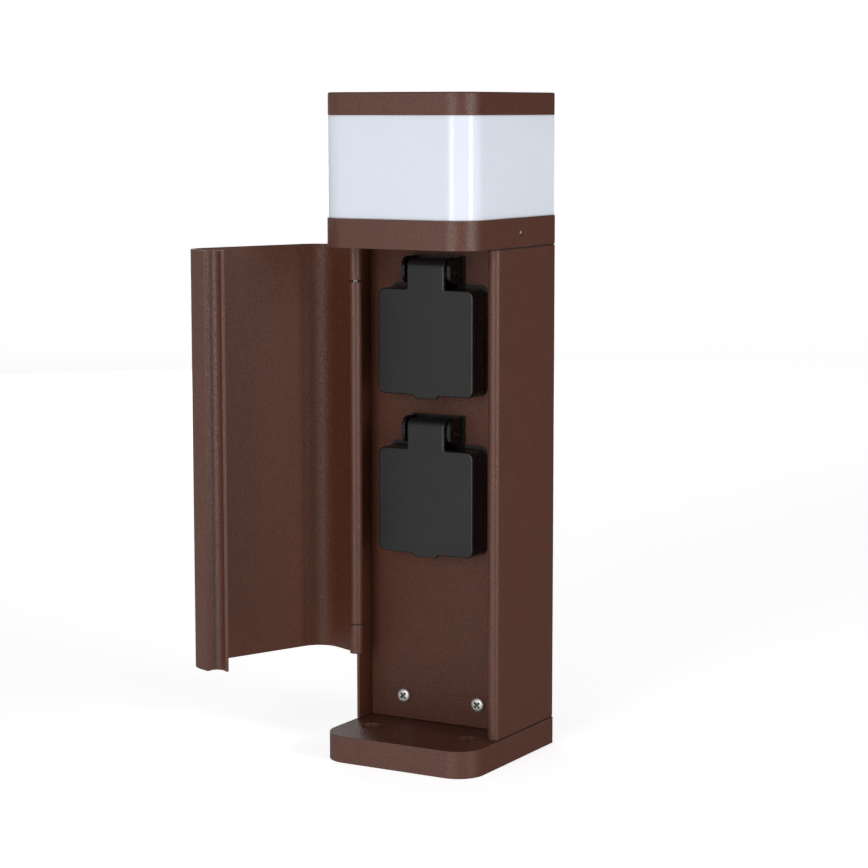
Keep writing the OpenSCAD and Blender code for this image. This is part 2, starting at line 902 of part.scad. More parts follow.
module diffuser() {
    color(opal) {
        translate([0, 0, diffuser_z]) linear_extrude(diffuser_top - diffuser_z) difference() {
            plan(head_inset);
            plan(head_inset + diffuser_wall);
        }
        for (z = [collar_top - tongue_drop, diffuser_top - tongue_tie])
            translate([0, 0, z]) linear_extrude(tongue_drop + seal_t + tongue_tie) difference() {
                plan(tongue_inset);
                plan(tongue_inset + tongue_t);
            }
    }
}

module top_cap() {
    color(rust)
    difference() {
        translate([0, 0, cap_z]) linear_extrude(cap_h) plan(head_inset);
        translate([0, 0, cap_z - eps]) linear_extrude(cap_h - cap_roof + eps) plan(head_inset + cap_wall);
    }
}

// Sockets: every socket piece is drawn once and placed by this module

module at_socket(index) {
    translate([socket_x, panel_y, socket_heights[index]]) children();
}

function housing_back() = floor_back + housing_depth;

module frame_screw_places() {
    for (x = [-1, 1], z = [-1, 1])
        translate([x * frame_screw_x, 0, z * frame_screw_z]) children();
}

module frame_gasket(index) {
    color(black)
    at_socket(index)
    difference() {
        plate(-frame_gasket_t, frame_gasket_t) {
            translate([0, gasket_brow / 2]) rounded(flange_w, flange_h + gasket_brow, flange_corner_r);
            hood_plate();
        }
        rod_y(-2, 4, well_out_r + 1);
        frame_screw_places() rod_y(-2, 4, m3_r + 0.2);
    }
}

// Upright plate behind the hinge ears
module hood_plate() {
    translate([-hood_plate_w / 2, 0])
        square([hood_plate_w, lid_pin_rise + ear_r + ear_lift + hood_plate_rise]);
}

module socket_frame(index) {
    color(charcoal)
    at_socket(index)
    difference() {
        union() {
            plate(-flange_front, flange_t) rounded(flange_w, flange_h, flange_corner_r);
            plate(-frame_gasket_t - hood_plate_t, hood_plate_t) hood_plate();
            difference() {
                plate(-spigot_front, spigot_front - frame_gasket_t)
                    rounded(spigot_w, spigot_h, spigot_corner_r);
                plate(-spigot_front - 1, spigot_front - web_front + 1)
                    rounded(spigot_w - 2 * spigot_t, spigot_h - 2 * spigot_t, spigot_corner_r - spigot_t);
                plate(-web_front + web_t, web_front - web_t)
                    rounded(spigot_w - 2 * spigot_t, spigot_h - 2 * spigot_t, spigot_corner_r - spigot_t);
            }
            rod_y(-web_front + 0.5, web_front - 0.5 - frame_gasket_t, well_out_r + loose_fit + 2);
            frame_screw_places() rod_y(-web_front + 0.5, web_front - 0.5 - frame_gasket_t, screw_pillar_r);
            for (s = [-1, 1]) across(s > 0 ? ear_x : -ear_x - ear_t, ear_t) ear_section();
        }
        rod_y(-spigot_front - 1, spigot_front + 2, well_out_r + loose_fit);
        frame_screw_places() rod_y(-web_front - 1, web_front + 2, m3_r + 0.1);
        for (z = [-1, 1])
            translate([-clip_slot / 2, -web_front - 1, z > 0 ? 0 : -well_out_r - 1.6])
                cube([clip_slot, web_front + 2, well_out_r + 1.6]);
        translate([0, -lid_pin_reach, lid_pin_rise]) {
            rod_x(3 * ear_x, lid_pin_d / 2 + fixed_fit);
            for (s = [-1, 1])
                translate([s * (ear_x + ear_t), 0, 0]) rod_x(2 * ear_recess, ear_recess_r);
        }
    }
}

// Side view of an ear: round in front of the pin, straight back to the flange
module ear_section() {
    translate([-lid_pin_reach, lid_pin_rise]) {
        circle(ear_r);
        translate([0, ear_lift]) circle(ear_r);
        translate([-ear_r, 0]) square([ear_r, ear_lift]);
        translate([0, -ear_r]) square([lid_pin_reach - frame_gasket_t, 2 * ear_r + ear_lift]);
    }
}

module frame_screws(index) {
    color(zinc)
    at_socket(index)
    frame_screw_places()
        translate([0, -web_front, 0]) rotate([90, 0, 0])
            pan_screw(m3_r, web_front + panel_t + 2, m3_head_r, m3_head_h);
}

module socket_insert(index) {
    color(charcoal)
    at_socket(index)
    difference() {
        union() {
            rod_y(-rim_front, rim_t, rim_r);
            rod_y(-rim_front + 1, floor_back + rim_front - 1, well_out_r);
        }
        rod_y(-rim_front - 1, well_depth + 1, well_r);
        for (s = [-1, 1]) {
            translate([s * pin_spacing / 2, 0, 0]) rod_y(0, floor_back + 1, pin_hole_d / 2);
            translate([-clip_slot / 2, -rim_front - 1, s > 0 ? well_r - clip_slot_in : -well_r - clip_slot_out])
                cube([clip_slot, floor_back + rim_front + 2, clip_slot_in + clip_slot_out]);
            translate([-clip_slot / 2, floor_back - floor_t - 1, s > 0 ? clip_foot_z - 1 : -well_r - clip_slot_out])
                cube([clip_slot, floor_t + 2, well_r + clip_slot_out - clip_foot_z + 1]);
        }
        rod_y(floor_back - 1, 2, shutter_post_r - running_fit);
    }
    color(charcoal) at_socket(index) keying_ribs();
}

// Two guide ribs at the sides of the well
module keying_ribs() {
    for (s = [-1, 1])
        translate([s * (well_r - 0.9) - 1.3, -rim_front + 3, -2.5])
            cube([2.6, well_depth - 3 + 0.5, 5]);
}

module rear_housing(index) {
    color(black)
    at_socket(index)
    difference() {
        union() {
            plate(floor_back, housing_depth) rounded(housing_w, housing_h, 4);
            rod_y(floor_back - 0.9, housing_depth, shutter_post_r - running_fit - fixed_fit);
        }
        difference() {
            plate(floor_back - 1, 1 + shutter_t + 2 * shutter_gap) circle(shutter_reach + 1.5);
            rod_y(floor_back - 2, housing_depth, shutter_post_r - running_fit);
        }
        for (s = [-1, 1]) {
            translate([s * pin_spacing / 2, 0, 0])
                rod_y(floor_back, housing_depth - housing_wall, contact_r + 0.2);
            translate([-clip_slot / 2, floor_back - 1, s > 0 ? clip_foot_z - 1 : -clip_foot_z - 2.2])
                cube([clip_slot, clip_foot + 1.5, 3.2]);
        }
    }
}

module pin_contacts(index) {
    color(brass)
    at_socket(index)
    for (s = [-1, 1])
        translate([s * pin_spacing / 2, 0, 0])
        difference() {
            rod_y(contact_y(), contact_l, contact_r);
            rod_y(contact_y() - 1, contact_l - 1, contact_bore_r);
            translate([-contact_r - 1, contact_y() - 1, -0.4]) cube([2 * contact_r + 2, contact_l - 2, 0.8]);
        }
}

function contact_y() = floor_back + shutter_t + 2 * shutter_gap + 0.5;

// Two bowed strips that touch the sides of a plug
module earth_clips(index) {
    top = well_r + 0.3;
    color(brass)
    at_socket(index)
    for (s = [0, 1])
        mirror([0, 0, s])
            across(-clip_w / 2, clip_w)
                polygon([
                    [-rim_front + 1, top - 0.7], [-rim_front + 4, top - 2.6], [-rim_front + 7, top - 2.6],
                    [-rim_front + 11, top - 0.6], [floor_back + clip_foot, clip_foot_z],
                    [floor_back + clip_foot, clip_foot_z + clip_t],
                    [-rim_front + 11, top - 0.6 + clip_t], [-rim_front + 7, top - 2.6 + clip_t],
                    [-rim_front + 4, top - 2.6 + clip_t], [-rim_front + 1, top - 0.7 + clip_t]
                ]);
}

// Turning shutter behind the pin holes
module shutter(index) {
    color("ivory")
    at_socket(index)
    difference() {
        union() {
            rod_y(floor_back + shutter_gap, shutter_t, shutter_hub_r);
            plate(floor_back + shutter_gap, shutter_t)
                square([2 * shutter_reach - shutter_arm_w, shutter_arm_w], center = true);
            for (s = [-1, 1])
                translate([s * (shutter_reach - shutter_arm_w / 2), 0, 0])
                    rod_y(floor_back + shutter_gap, shutter_t, shutter_arm_w / 2);
        }
        rod_y(floor_back, 2 * shutter_t + 1, shutter_post_r);
    }
}

// Wire ring that turns the shutter back
module shutter_spring(index) {
    color(zinc)
    at_socket(index)
    difference() {
        rod_y(floor_back + shutter_gap + shutter_t, 0.4, shutter_hub_r - 0.4);
        rod_y(floor_back + shutter_gap + shutter_t - 1, 3, shutter_hub_r - 1);
    }
}

// Flap lids

module lid(index) {
    color(charcoal)
    at_socket(index)
    difference() {
        union() {
            lid_shell();
            across(-strap_w / 2, strap_w) strap_section();
            plate(-lid_reach, tab_t)
                polygon([
                    [-tab_top_w / 2, -lid_h / 2 + 1], [tab_top_w / 2, -lid_h / 2 + 1],
                    [tab_bottom_w / 2, -lid_h / 2 - tab_drop], [-tab_bottom_w / 2, -lid_h / 2 - tab_drop]
                ]);
            for (s = [-1, 1])
                translate([s * (strap_w / 2 - lid_barrel_l / 2), -lid_pin_reach, lid_pin_rise]) {
                    rod_x(lid_barrel_l, lid_barrel_r);
                    translate([-lid_barrel_l / 2, lid_pin_reach - lid_reach + 1, -lid_barrel_r + 1])
                        cube([lid_barrel_l, lid_reach - lid_pin_reach - 3, 2 * lid_barrel_r - 2]);
                }
        }
        translate([0, -lid_pin_reach, lid_pin_rise]) rod_x(2 * strap_w, lid_pin_d / 2 + running_fit);
    }
}

// Front plate with its skirt all round
module lid_shell() {
    difference() {
        plate(-lid_reach, lid_depth) rounded(lid_w, lid_h, lid_corner_r);
        plate(-lid_reach + lid_t, lid_depth)
            rounded(lid_w - 2 * skirt_t, lid_h - 2 * skirt_t, lid_corner_r - skirt_t);
    }
}

// Side view of the strap: straight up from the lid, then curled back over the pin
module strap_section() {
    base_z = lid_h / 2 - 1;
    top_z = lid_pin_rise + strap_rise;
    translate([-lid_reach, base_z]) square([strap_t, top_z - strap_round - base_z]);
    translate([-lid_reach + strap_round, top_z - strap_round])
        difference() {
            circle(strap_round);
            circle(strap_round - strap_t);
            translate([-strap_round, -2 * strap_round]) square([3 * strap_round, 2 * strap_round]);
            translate([0.2, -strap_round]) square([2 * strap_round, 3 * strap_round]);
        }
}

module lid_seal(index) {
    color(black)
    at_socket(index)
    plate(-lid_reach + lid_t, lid_seal_t) difference() {
        rounded(spigot_w, spigot_h, spigot_corner_r);
        rounded(spigot_w - 2 * lid_seal_w, spigot_h - 2 * lid_seal_w, 1);
    }
}

module lid_pin(index) {
    color(zinc)
    at_socket(index)
    translate([0, -lid_pin_reach, lid_pin_rise])
        rod_x(2 * (ear_x + ear_t - ear_recess), lid_pin_d / 2);
}

// Torsion spring round the pin, between the two lid barrels
module lid_spring(index) {
    steps = 16;
    pitch = lid_spring_wire * 1.7;
    color(zinc)
    at_socket(index)
    translate([0, -lid_pin_reach, lid_pin_rise])
        lead([for (i = [0:lid_spring_turns * steps])
            [pitch * (i / steps - lid_spring_turns / 2),
             lid_spring_r * cos(360 * i / steps), lid_spring_r * sin(360 * i / steps)]],
            lid_spring_wire / 2, 6);
}

base_plate();
base_gasket();
base_screws();
cable_grommet();
column_body();
socket_panel();
panel_screws();
terminal_block();
socket_leads();
lamp_leads();
led_driver();
door();
hinge_pins();
hinge_washer();
collar_gasket();
head_collar();
collar_screws();
grub_screws();
led_board();
led_chips();
led_screws();
retaining_ring();
lower_diffuser_seal();
diffuser();
upper_diffuser_seal();
top_cap();
frame_gasket(1);  // upper_frame_gasket
socket_frame(1);  // upper_socket_frame
frame_screws(1);  // upper_frame_screws
socket_insert(1);  // upper_socket_insert
rear_housing(1);  // upper_rear_housing
pin_contacts(1);  // upper_pin_contacts
earth_clips(1);  // upper_earth_clips
shutter(1);  // upper_shutter
shutter_spring(1);  // upper_shutter_spring
lid(1);  // upper_lid
lid_seal(1);  // upper_lid_seal
lid_pin(1);  // upper_lid_pin
lid_spring(1);  // upper_lid_spring
frame_gasket(0);  // lower_frame_gasket
socket_frame(0);  // lower_socket_frame
frame_screws(0);  // lower_frame_screws
socket_insert(0);  // lower_socket_insert
rear_housing(0);  // lower_rear_housing
pin_contacts(0);  // lower_pin_contacts
earth_clips(0);  // lower_earth_clips
shutter(0);  // lower_shutter
shutter_spring(0);  // lower_shutter_spring
lid(0);  // lower_lid
lid_seal(0);  // lower_lid_seal
lid_pin(0);  // lower_lid_pin
lid_spring(0);  // lower_lid_spring
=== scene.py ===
import json
import bpy
import bmesh
import numpy as np
from mathutils import Matrix, Vector


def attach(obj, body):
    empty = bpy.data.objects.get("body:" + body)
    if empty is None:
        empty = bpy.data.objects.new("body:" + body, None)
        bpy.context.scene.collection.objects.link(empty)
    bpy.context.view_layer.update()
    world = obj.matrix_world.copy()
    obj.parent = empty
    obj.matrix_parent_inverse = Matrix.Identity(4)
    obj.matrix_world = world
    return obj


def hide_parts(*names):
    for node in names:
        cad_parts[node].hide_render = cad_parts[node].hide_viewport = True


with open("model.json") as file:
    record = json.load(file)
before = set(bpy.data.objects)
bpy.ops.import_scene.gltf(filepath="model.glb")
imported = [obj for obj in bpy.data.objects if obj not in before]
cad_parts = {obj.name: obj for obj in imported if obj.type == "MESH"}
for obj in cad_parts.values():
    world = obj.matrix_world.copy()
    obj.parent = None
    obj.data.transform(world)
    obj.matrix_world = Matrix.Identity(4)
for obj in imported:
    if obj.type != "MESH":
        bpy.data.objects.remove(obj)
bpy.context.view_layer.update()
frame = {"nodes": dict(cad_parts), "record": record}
nodes = frame["nodes"]
print("frame loaded:", len(nodes), "nodes")

mm = 0.001

# camera, floor and light
viewPoint = {
    "place": (0.74604, -1.30368, 0.38973),
    "right": (0.867191, 0.497975, -0.000453),
    "up": (-0.063370, 0.111257, 0.991769),
    "back": (0.493927, -0.860025, 0.128038),
    "lens": 104.14,
    "sensor": 36,
}


def placeCamera(v):
    # the camera's axes are the columns of its matrix, so no angles are worked out
    data = bpy.data.cameras.new("photoCamera")
    data.lens = v["lens"]
    data.sensor_width = v["sensor"]
    camera = bpy.data.objects.new("photoCamera", data)
    bpy.context.scene.collection.objects.link(camera)
    rows = [[v["right"][i], v["up"][i], v["back"][i], v["place"][i]] for i in range(3)]
    camera.matrix_world = Matrix(rows + [[0, 0, 0, 1]])
    bpy.context.scene.camera = camera


placeCamera(viewPoint)

studio = {
    # the sky's strength on the wall's side and on the far side, the wall's azimuth, and the cosines
    # between which one goes over into the other
    "sky": (0.62, 0.11),
    "skyFrom": -32,
    "wallReach": (-0.1, 0.75),
    # share of that strength at the zenith, and the heights between which it fades
    "skyTop": 0.30,
    "skyFade": (0.15, 0.8),
    # every lamp looks at the post's middle at this height
    "aimHeight": 0.2,
    "lamps": {
        # name: (azimuth from the front, height of its middle, distance, width, height, watts)
        "frontStrip": (2, 0.34, 1.2, 0.40, 0.9, 5.8),
        "rightStrip": (80, 0.34, 1.2, 0.34, 0.9, 7.8),
        "backKey": (-135, 0.60, 2.2, 0.8, 1.0, 6),
    },
}


def buildStudio(s):
    # a sky brighter on one side, and upright strips of light that face the post from their azimuths
    bpy.context.scene.view_settings.view_transform = "Standard"
    world = bpy.data.worlds.new("studioSky")
    bpy.context.scene.world = world
    world.use_nodes = True
    tree = world.node_tree
    sky = tree.nodes["Background"]
    sky.inputs["Color"].default_value = (1.0, 1.0, 1.0, 1)
    # one broad white wall: brightness goes with how near a direction lies to the wall's, and fades to
    # the zenith
    where = tree.nodes.new("ShaderNodeTexCoord")
    wall = tree.nodes.new("ShaderNodeVectorMath")
    wall.operation = "DOT_PRODUCT"
    facing = np.radians(s["skyFrom"])
    wall.inputs[1].default_value = (np.sin(facing), -np.cos(facing), 0)
    parts = tree.nodes.new("ShaderNodeSeparateXYZ")
    tree.links.new(where.outputs["Generated"], wall.inputs[0])
    tree.links.new(where.outputs["Generated"], parts.inputs["Vector"])
    bright = span(tree, wall.outputs["Value"], s["sky"][1], s["sky"][0], *s["wallReach"])
    fade = span(tree, parts.outputs["Z"], 1.0, s["skyTop"], *s["skyFade"])
    tree.links.new(mathNode(tree, "MULTIPLY", bright, fade), sky.inputs["Strength"])
    for name, (azimuth, height, distance, width, tall, watts) in s["lamps"].items():
        data = bpy.data.lights.new(name, "AREA")
        data.shape = "RECTANGLE"
        data.size, data.size_y = width, tall
        data.energy = watts
        lamp = bpy.data.objects.new(name, data)
        a = np.radians(azimuth)
        lamp.location = (distance * np.sin(a), -distance * np.cos(a), height)
        aim = Vector((0, 0, s["aimHeight"])) - lamp.location
        lamp.rotation_euler = aim.to_track_quat("-Z", "Y").to_euler()
        lamp.visible_camera = False
        bpy.context.scene.collection.objects.link(lamp)


# surfaces worked out with numpy
def gridQuads(rows, cols, wrapRows=False, wrapCols=True):
    # quad (i, j) joins points (i, j), (i, j+1), (i+1, j+1) and (i+1, j), by arithmetic on whole arrays
    i = np.arange(rows if wrapRows else rows - 1)[:, None]
    j = np.arange(cols if wrapCols else cols - 1)[None, :]
    i2, j2 = (i + 1) % rows, (j + 1) % cols
    quads = np.stack([i * cols + j, i * cols + j2, i2 * cols + j2, i2 * cols + j], axis=-1)
    return quads.reshape(-1, 4)


def filletPath(corners, radii, steps):
    # each corner becomes an arc that touches both its sides: with h half the angle between the sides,
    # the arc's centre lies r / sin(h) from the corner along the bisector, and the arc turns between the
    # two radii at the touching points
    p = np.asarray(corners, float)
    r = np.broadcast_to(np.asarray(radii, float), len(p))[:, None]
    a = np.roll(p, 1, 0) - p
    b = np.roll(p, -1, 0) - p
    a /= np.linalg.norm(a, axis=1, keepdims=True)
    b /= np.linalg.norm(b, axis=1, keepdims=True)
    half = np.arccos(np.clip((a * b).sum(1), -1, 1))[:, None] / 2
    bisector = a + b
    bisector /= np.linalg.norm(bisector, axis=1, keepdims=True)
    centre = p + bisector * r / np.sin(half)
    u = (p + a * r / np.tan(half) - centre) / r
    v = (p + b * r / np.tan(half) - centre) / r
    swing = np.arccos(np.clip((u * v).sum(1), -1, 1))[:, None, None]
    t = np.linspace(0, 1, steps + 1)[None, :, None]
    arc = (np.sin((1 - t) * swing) * u[:, None] + np.sin(t * swing) * v[:, None]) / np.sin(swing)
    return (centre[:, None] + r[:, None] * arc).reshape(-1, 2)


def insetPath(path, amount):
    # every point moves inwards along the mean of its two edge normals, stretched by the mitre so that
    # straight sides stay parallel
    before, after = np.roll(path, 1, 0), np.roll(path, -1, 0)
    e1, e2 = path - before, after - path
    n1 = np.stack([-e1[:, 1], e1[:, 0]], 1) / np.linalg.norm(e1, axis=1, keepdims=True)
    n2 = np.stack([-e2[:, 1], e2[:, 0]], 1) / np.linalg.norm(e2, axis=1, keepdims=True)
    n = n1 + n2
    n /= np.linalg.norm(n, axis=1, keepdims=True)
    return path + n * (amount / (n * n1).sum(1))[:, None]


postPlan = {
    "halfWidth": 51.5, "halfDepth": 53.5, "frontRadius": 16.5, "rearRadius": 1.2, "leastRadius": 0.4,
}


def postOutline(inset, steps):
    # the post's plan: front corners of one radius, back corners of another, drawn in on every side
    w, d = postPlan["halfWidth"] - inset, postPlan["halfDepth"] - inset
    front = max(postPlan["frontRadius"] - inset, postPlan["leastRadius"])
    rear = max(postPlan["rearRadius"] - inset, postPlan["leastRadius"])
    corners = [(-w, -d), (w, -d), (w, d), (-w, d)]
    return filletPath(corners, [front, front, rear, rear], steps)


def levelRing(outline, level):
    # a flat outline laid at one level
    return np.column_stack([outline, np.full(len(outline), level)])


def planRing(inset, height, steps):
    # the post's plan, drawn in and laid at one height
    return levelRing(postOutline(inset, steps), height)


def roundedRect(w, h, r, steps):
    # half the width and height either side of the middle, every corner an arc of radius r
    corners = [(-w / 2, -h / 2), (w / 2, -h / 2), (w / 2, h / 2), (-w / 2, h / 2)]
    return filletPath(corners, r, steps)


def quarterEdge(r, steps):
    # a rounded edge as (inset, drop) pairs, from the face to the side: inset r(1 - sin), drop r(1 - cos)
    t = np.linspace(0, np.pi / 2, steps + 1)
    return np.stack([r * (1 - np.sin(t)), r * (1 - np.cos(t))], 1)


def ringStack(rings, wrapRows=False):
    # rings of equal point count joined in order; the last joins the first, or each end closes on its
    # own middle point
    rings = np.asarray(rings, float)
    k, n = rings.shape[:2]
    verts = rings.reshape(-1, 3)
    faces = gridQuads(k, n, wrapRows=wrapRows).tolist()
    if not wrapRows:
        ends = np.stack([rings[0].mean(0), rings[-1].mean(0)])
        verts = np.concatenate([verts, ends])
        j = np.arange(n)
        j2 = (j + 1) % n
        first = np.stack([j2, j, np.full(n, k * n)], 1)
        last = np.stack([(k - 1) * n + j, (k - 1) * n + j2, np.full(n, k * n + 1)], 1)
        faces += first.tolist() + last.tolist()
    return verts, faces


def cappedStack(rings):
    # rings joined in order, each end closed by one flat face
    rings = np.asarray(rings, float)
    k, n = rings.shape[:2]
    faces = gridQuads(k, n).tolist()
    faces += [list(range(n))[::-1], list(range((k - 1) * n, k * n))]
    return rings.reshape(-1, 3), faces


def prism(outline, low, high, edge, steps):
    # an outline carried from low to high with both ends rounded over
    curve = quarterEdge(edge, steps)
    inset = np.concatenate([curve[:, 0], curve[::-1, 0]])
    level = np.concatenate([low + curve[:, 1], high - curve[::-1, 1]])
    return cappedStack([levelRing(insetPath(outline, a), z) for a, z in zip(inset, level)])


def stoodUp(shape):
    # a shape drawn level, with its depth downwards, is turned so that its depth runs to the back
    verts, faces = shape
    return np.stack([verts[:, 0], -verts[:, 2], verts[:, 1]], 1), faces


def joined(*shapes):
    # shapes put in one list, each one's face numbers moved on by the points before it
    verts, faces, start = [], [], 0
    for v, f in shapes:
        verts.append(v)
        faces += [[i + start for i in face] for face in f]
        start += len(v)
    return np.concatenate(verts), faces


# merge distances in metres, and the angles in degrees that count as flat and as a corner
softening = {"drawnMerge": 1e-7, "solidMerge": 2e-6, "flat": 0.8, "corner": 35}


def makePiece(name, shape, body, material, stands):
    # millimetres in, metres out; doubles merged and faces pointed outwards
    verts, faces = shape
    mesh = bpy.data.meshes.new(name)
    mesh.from_pydata((np.asarray(verts) * mm).tolist(), [], faces)
    work = bmesh.new()
    work.from_mesh(mesh)
    bmesh.ops.remove_doubles(work, verts=work.verts, dist=softening["drawnMerge"])
    bmesh.ops.recalc_face_normals(work, faces=work.faces)
    work.to_mesh(mesh)
    work.free()
    return addPiece(name, mesh, body, material, stands)


def addPiece(name, mesh, body, material, stands, width=0, segments=2):
    # the mesh becomes a piece that rides on its body and stands for its solids; its corners are rounded
    # where a width is given, and its flat faces stay flat by area weights
    mesh.polygons.foreach_set("use_smooth", np.full(len(mesh.polygons), True))
    mesh.materials.clear()
    mesh.materials.append(material)
    piece = bpy.data.objects.new(name, mesh)
    bpy.context.scene.collection.objects.link(piece)
    if width:
        bevel = piece.modifiers.new("softEdges", "BEVEL")
        bevel.width = width * mm
        bevel.segments = segments
        bevel.limit_method = "ANGLE"
        bevel.angle_limit = np.radians(softening["corner"])
        bevel.use_clamp_overlap = True
    weights = piece.modifiers.new("flatFaces", "WEIGHTED_NORMAL")
    weights.keep_sharp = True
    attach(piece, body)
    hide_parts(*stands)
    return piece


def softenedCopy(node, body, material, slot, width, segments=2):
    # a merged copy of the solid with its flat faces made whole, and a small bevel along its corners
    mesh = bpy.data.meshes.new(node + "Soft")
    work = bmesh.new()
    work.from_mesh(nodes[node].data)
    flat = np.radians(softening["flat"])
    bmesh.ops.remove_doubles(work, verts=work.verts, dist=softening["solidMerge"])
    bmesh.ops.dissolve_limit(work, angle_limit=flat, verts=work.verts, edges=work.edges)
    work.to_mesh(mesh)
    work.free()
    if "custom_normal" in mesh.attributes:
        mesh.attributes.remove(mesh.attributes["custom_normal"])
    return addPiece(node + "Soft", mesh, body, material, [node], width, segments)


# materials: noise as (scale, detail, roughness), tones as shares of the colour, relief in metres
# noise keeps mostly between these two values
noiseBand = (0.3, 0.7)


def newMaterial(name):
    # a material with its nodes and its one shader
    material = bpy.data.materials.new(name)
    material.use_nodes = True
    tree = material.node_tree
    shader = tree.nodes["Principled BSDF"]
    return material, tree, shader


def addNoise(tree, scale, detail, roughness, stretch=(1, 1, 1)):
    # noise on the object's own metres, so that a scale of 1000 has grains of about a millimetre
    where = tree.nodes.new("ShaderNodeTexCoord")
    mapping = tree.nodes.new("ShaderNodeMapping")
    mapping.inputs["Scale"].default_value = stretch
    noise = tree.nodes.new("ShaderNodeTexNoise")
    noise.inputs["Scale"].default_value = scale
    noise.inputs["Detail"].default_value = detail
    noise.inputs["Roughness"].default_value = roughness
    tree.links.new(where.outputs["Object"], mapping.inputs["Vector"])
    tree.links.new(mapping.outputs["Vector"], noise.inputs["Vector"])
    return noise.outputs["Fac"]


def ramp(tree, value, stops):
    # stops are (position, colour), colours in linear light
    node = tree.nodes.new("ShaderNodeValToRGB")
    while len(node.color_ramp.elements) < len(stops):
        node.color_ramp.elements.new(0.5)
    for element, (position, colour) in zip(node.color_ramp.elements, stops):
        element.position = position
        element.color = (*colour, 1)
    tree.links.new(value, node.inputs["Fac"])
    return node.outputs["Color"]


def span(tree, value, low, high, fromLow=noiseBand[0], fromHigh=noiseBand[1]):
    # value from fromLow to fromHigh becomes low to high, in proportion and held at both ends
    node = tree.nodes.new("ShaderNodeMapRange")
    node.inputs["From Min"].default_value = fromLow
    node.inputs["From Max"].default_value = fromHigh
    node.inputs["To Min"].default_value = low
    node.inputs["To Max"].default_value = high
    tree.links.new(value, node.inputs["Value"])
    return node.outputs["Result"]


def mathNode(tree, operation, a, b=None):
    # one operation on sockets or plain numbers
    node = tree.nodes.new("ShaderNodeMath")
    node.operation = operation
    for socket, value in zip(node.inputs, (a, b)):
        if isinstance(value, (int, float)):
            socket.default_value = value
        elif value is not None:
            tree.links.new(value, socket)
    return node.outputs["Value"]


def multiplied(tree, a, b):
    # two colours multiplied channel by channel
    node = tree.nodes.new("ShaderNodeMix")
    node.data_type = "RGBA"
    node.blend_type = "MULTIPLY"
    node.inputs["Factor"].default_value = 1.0
    tree.links.new(a, node.inputs["A"])
    tree.links.new(b, node.inputs["B"])
    return node.outputs["Result"]


def bump(tree, shader, height, strength, distance):
    # the slope of height times distance, in metres, tilts the shading
    node = tree.nodes.new("ShaderNodeBump")
    node.inputs["Strength"].default_value = strength
    node.inputs["Distance"].default_value = distance
    tree.links.new(height, node.inputs["Height"])
    tree.links.new(node.outputs["Normal"], shader.inputs["Normal"])


def paint(tree, shader, noise, low, high, band=noiseBand):
    # the base colour goes from low to high across the band of the noise
    tone = ramp(tree, noise, [(band[0], low), (band[1], high)])
    tree.links.new(tone, shader.inputs["Base Color"])


def roughen(tree, shader, noise, low, high):
    # the roughness goes from low to high across the band of the noise
    tree.links.new(span(tree, noise, low, high), shader.inputs["Roughness"])


def shade(colour, share):
    # every channel times the share
    return tuple(c * share for c in colour)


def shades(colour, shares):
    # the colour at each of the shares
    return [shade(colour, share) for share in shares]


coatLook = {
    "grain": (1050, 1.5, 0.5), "cloud": (60, 3.0, 0.5), "specks": (0.80, 1.0, 1.25),
    "clouds": (0.96, 1.03), "rough": (0.54, 0.38), "bump": 1.0, "relief": 0.00025,
}


def powderCoat(name, colour, gloss):
    # fine textured stove enamel: tiny raised grains that are a little lighter and smoother than the
    # pits between
    material, tree, shader = newMaterial(name)
    fine = addNoise(tree, *coatLook["grain"])
    broad = addNoise(tree, *coatLook["cloud"])
    places = (noiseBand[0], sum(noiseBand) / 2, noiseBand[1])
    speck = ramp(tree, fine, list(zip(places, shades(colour, coatLook["specks"]))))
    cloud = ramp(tree, broad, list(zip(noiseBand, shades((1.0, 1.0, 1.0), coatLook["clouds"]))))
    tree.links.new(multiplied(tree, speck, cloud), shader.inputs["Base Color"])
    roughen(tree, shader, fine, *coatLook["rough"])
    shader.inputs["Specular IOR Level"].default_value = gloss
    bump(tree, shader, fine, coatLook["bump"], coatLook["relief"])
    return material


plasticLook = {
    "grain": (2.0, 0.5), "cloud": (35, 2.0, 0.5), "tones": (0.88, 1.12), "spread": 0.06, "bump": 0.35,
}


def mouldedPlastic(name, colour, rough, grain, relief, gloss):
    # spark-eroded mould finish: a matt grain in the roughness and a whisper of relief
    material, tree, shader = newMaterial(name)
    fine = addNoise(tree, grain, *plasticLook["grain"])
    broad = addNoise(tree, *plasticLook["cloud"])
    paint(tree, shader, broad, *shades(colour, plasticLook["tones"]))
    roughen(tree, shader, fine, rough + plasticLook["spread"], rough - plasticLook["spread"])
    shader.inputs["Specular IOR Level"].default_value = gloss
    bump(tree, shader, fine, plasticLook["bump"], relief)
    return material


opalLook = {
    "colour": (0.73, 0.77, 0.865), "cloud": (28, 3.0, 0.5), "tones": (0.975, 1.01), "band": (0.25, 0.75),
    "skin": (900, 2.0, 0.5), "rough": (0.16, 0.11), "scatter": 0.35, "radius": (1.0, 1.0, 1.0),
    "reach": 0.004, "ior": 1.41, "bump": 0.08, "relief": 0.00001,
}


def opalPlastic(name, look):
    # milky sheet: light scatters a few millimetres deep under a polished skin
    material, tree, shader = newMaterial(name)
    cloud = addNoise(tree, *look["cloud"])
    skin = addNoise(tree, *look["skin"])
    paint(tree, shader, cloud, *shades(look["colour"], look["tones"]), look["band"])
    roughen(tree, shader, skin, *look["rough"])
    shader.inputs["Subsurface Weight"].default_value = look["scatter"]
    shader.inputs["Subsurface Radius"].default_value = look["radius"]
    shader.inputs["Subsurface Scale"].default_value = look["reach"]
    shader.inputs["IOR"].default_value = look["ior"]
    bump(tree, shader, skin, look["bump"], look["relief"])
    return material


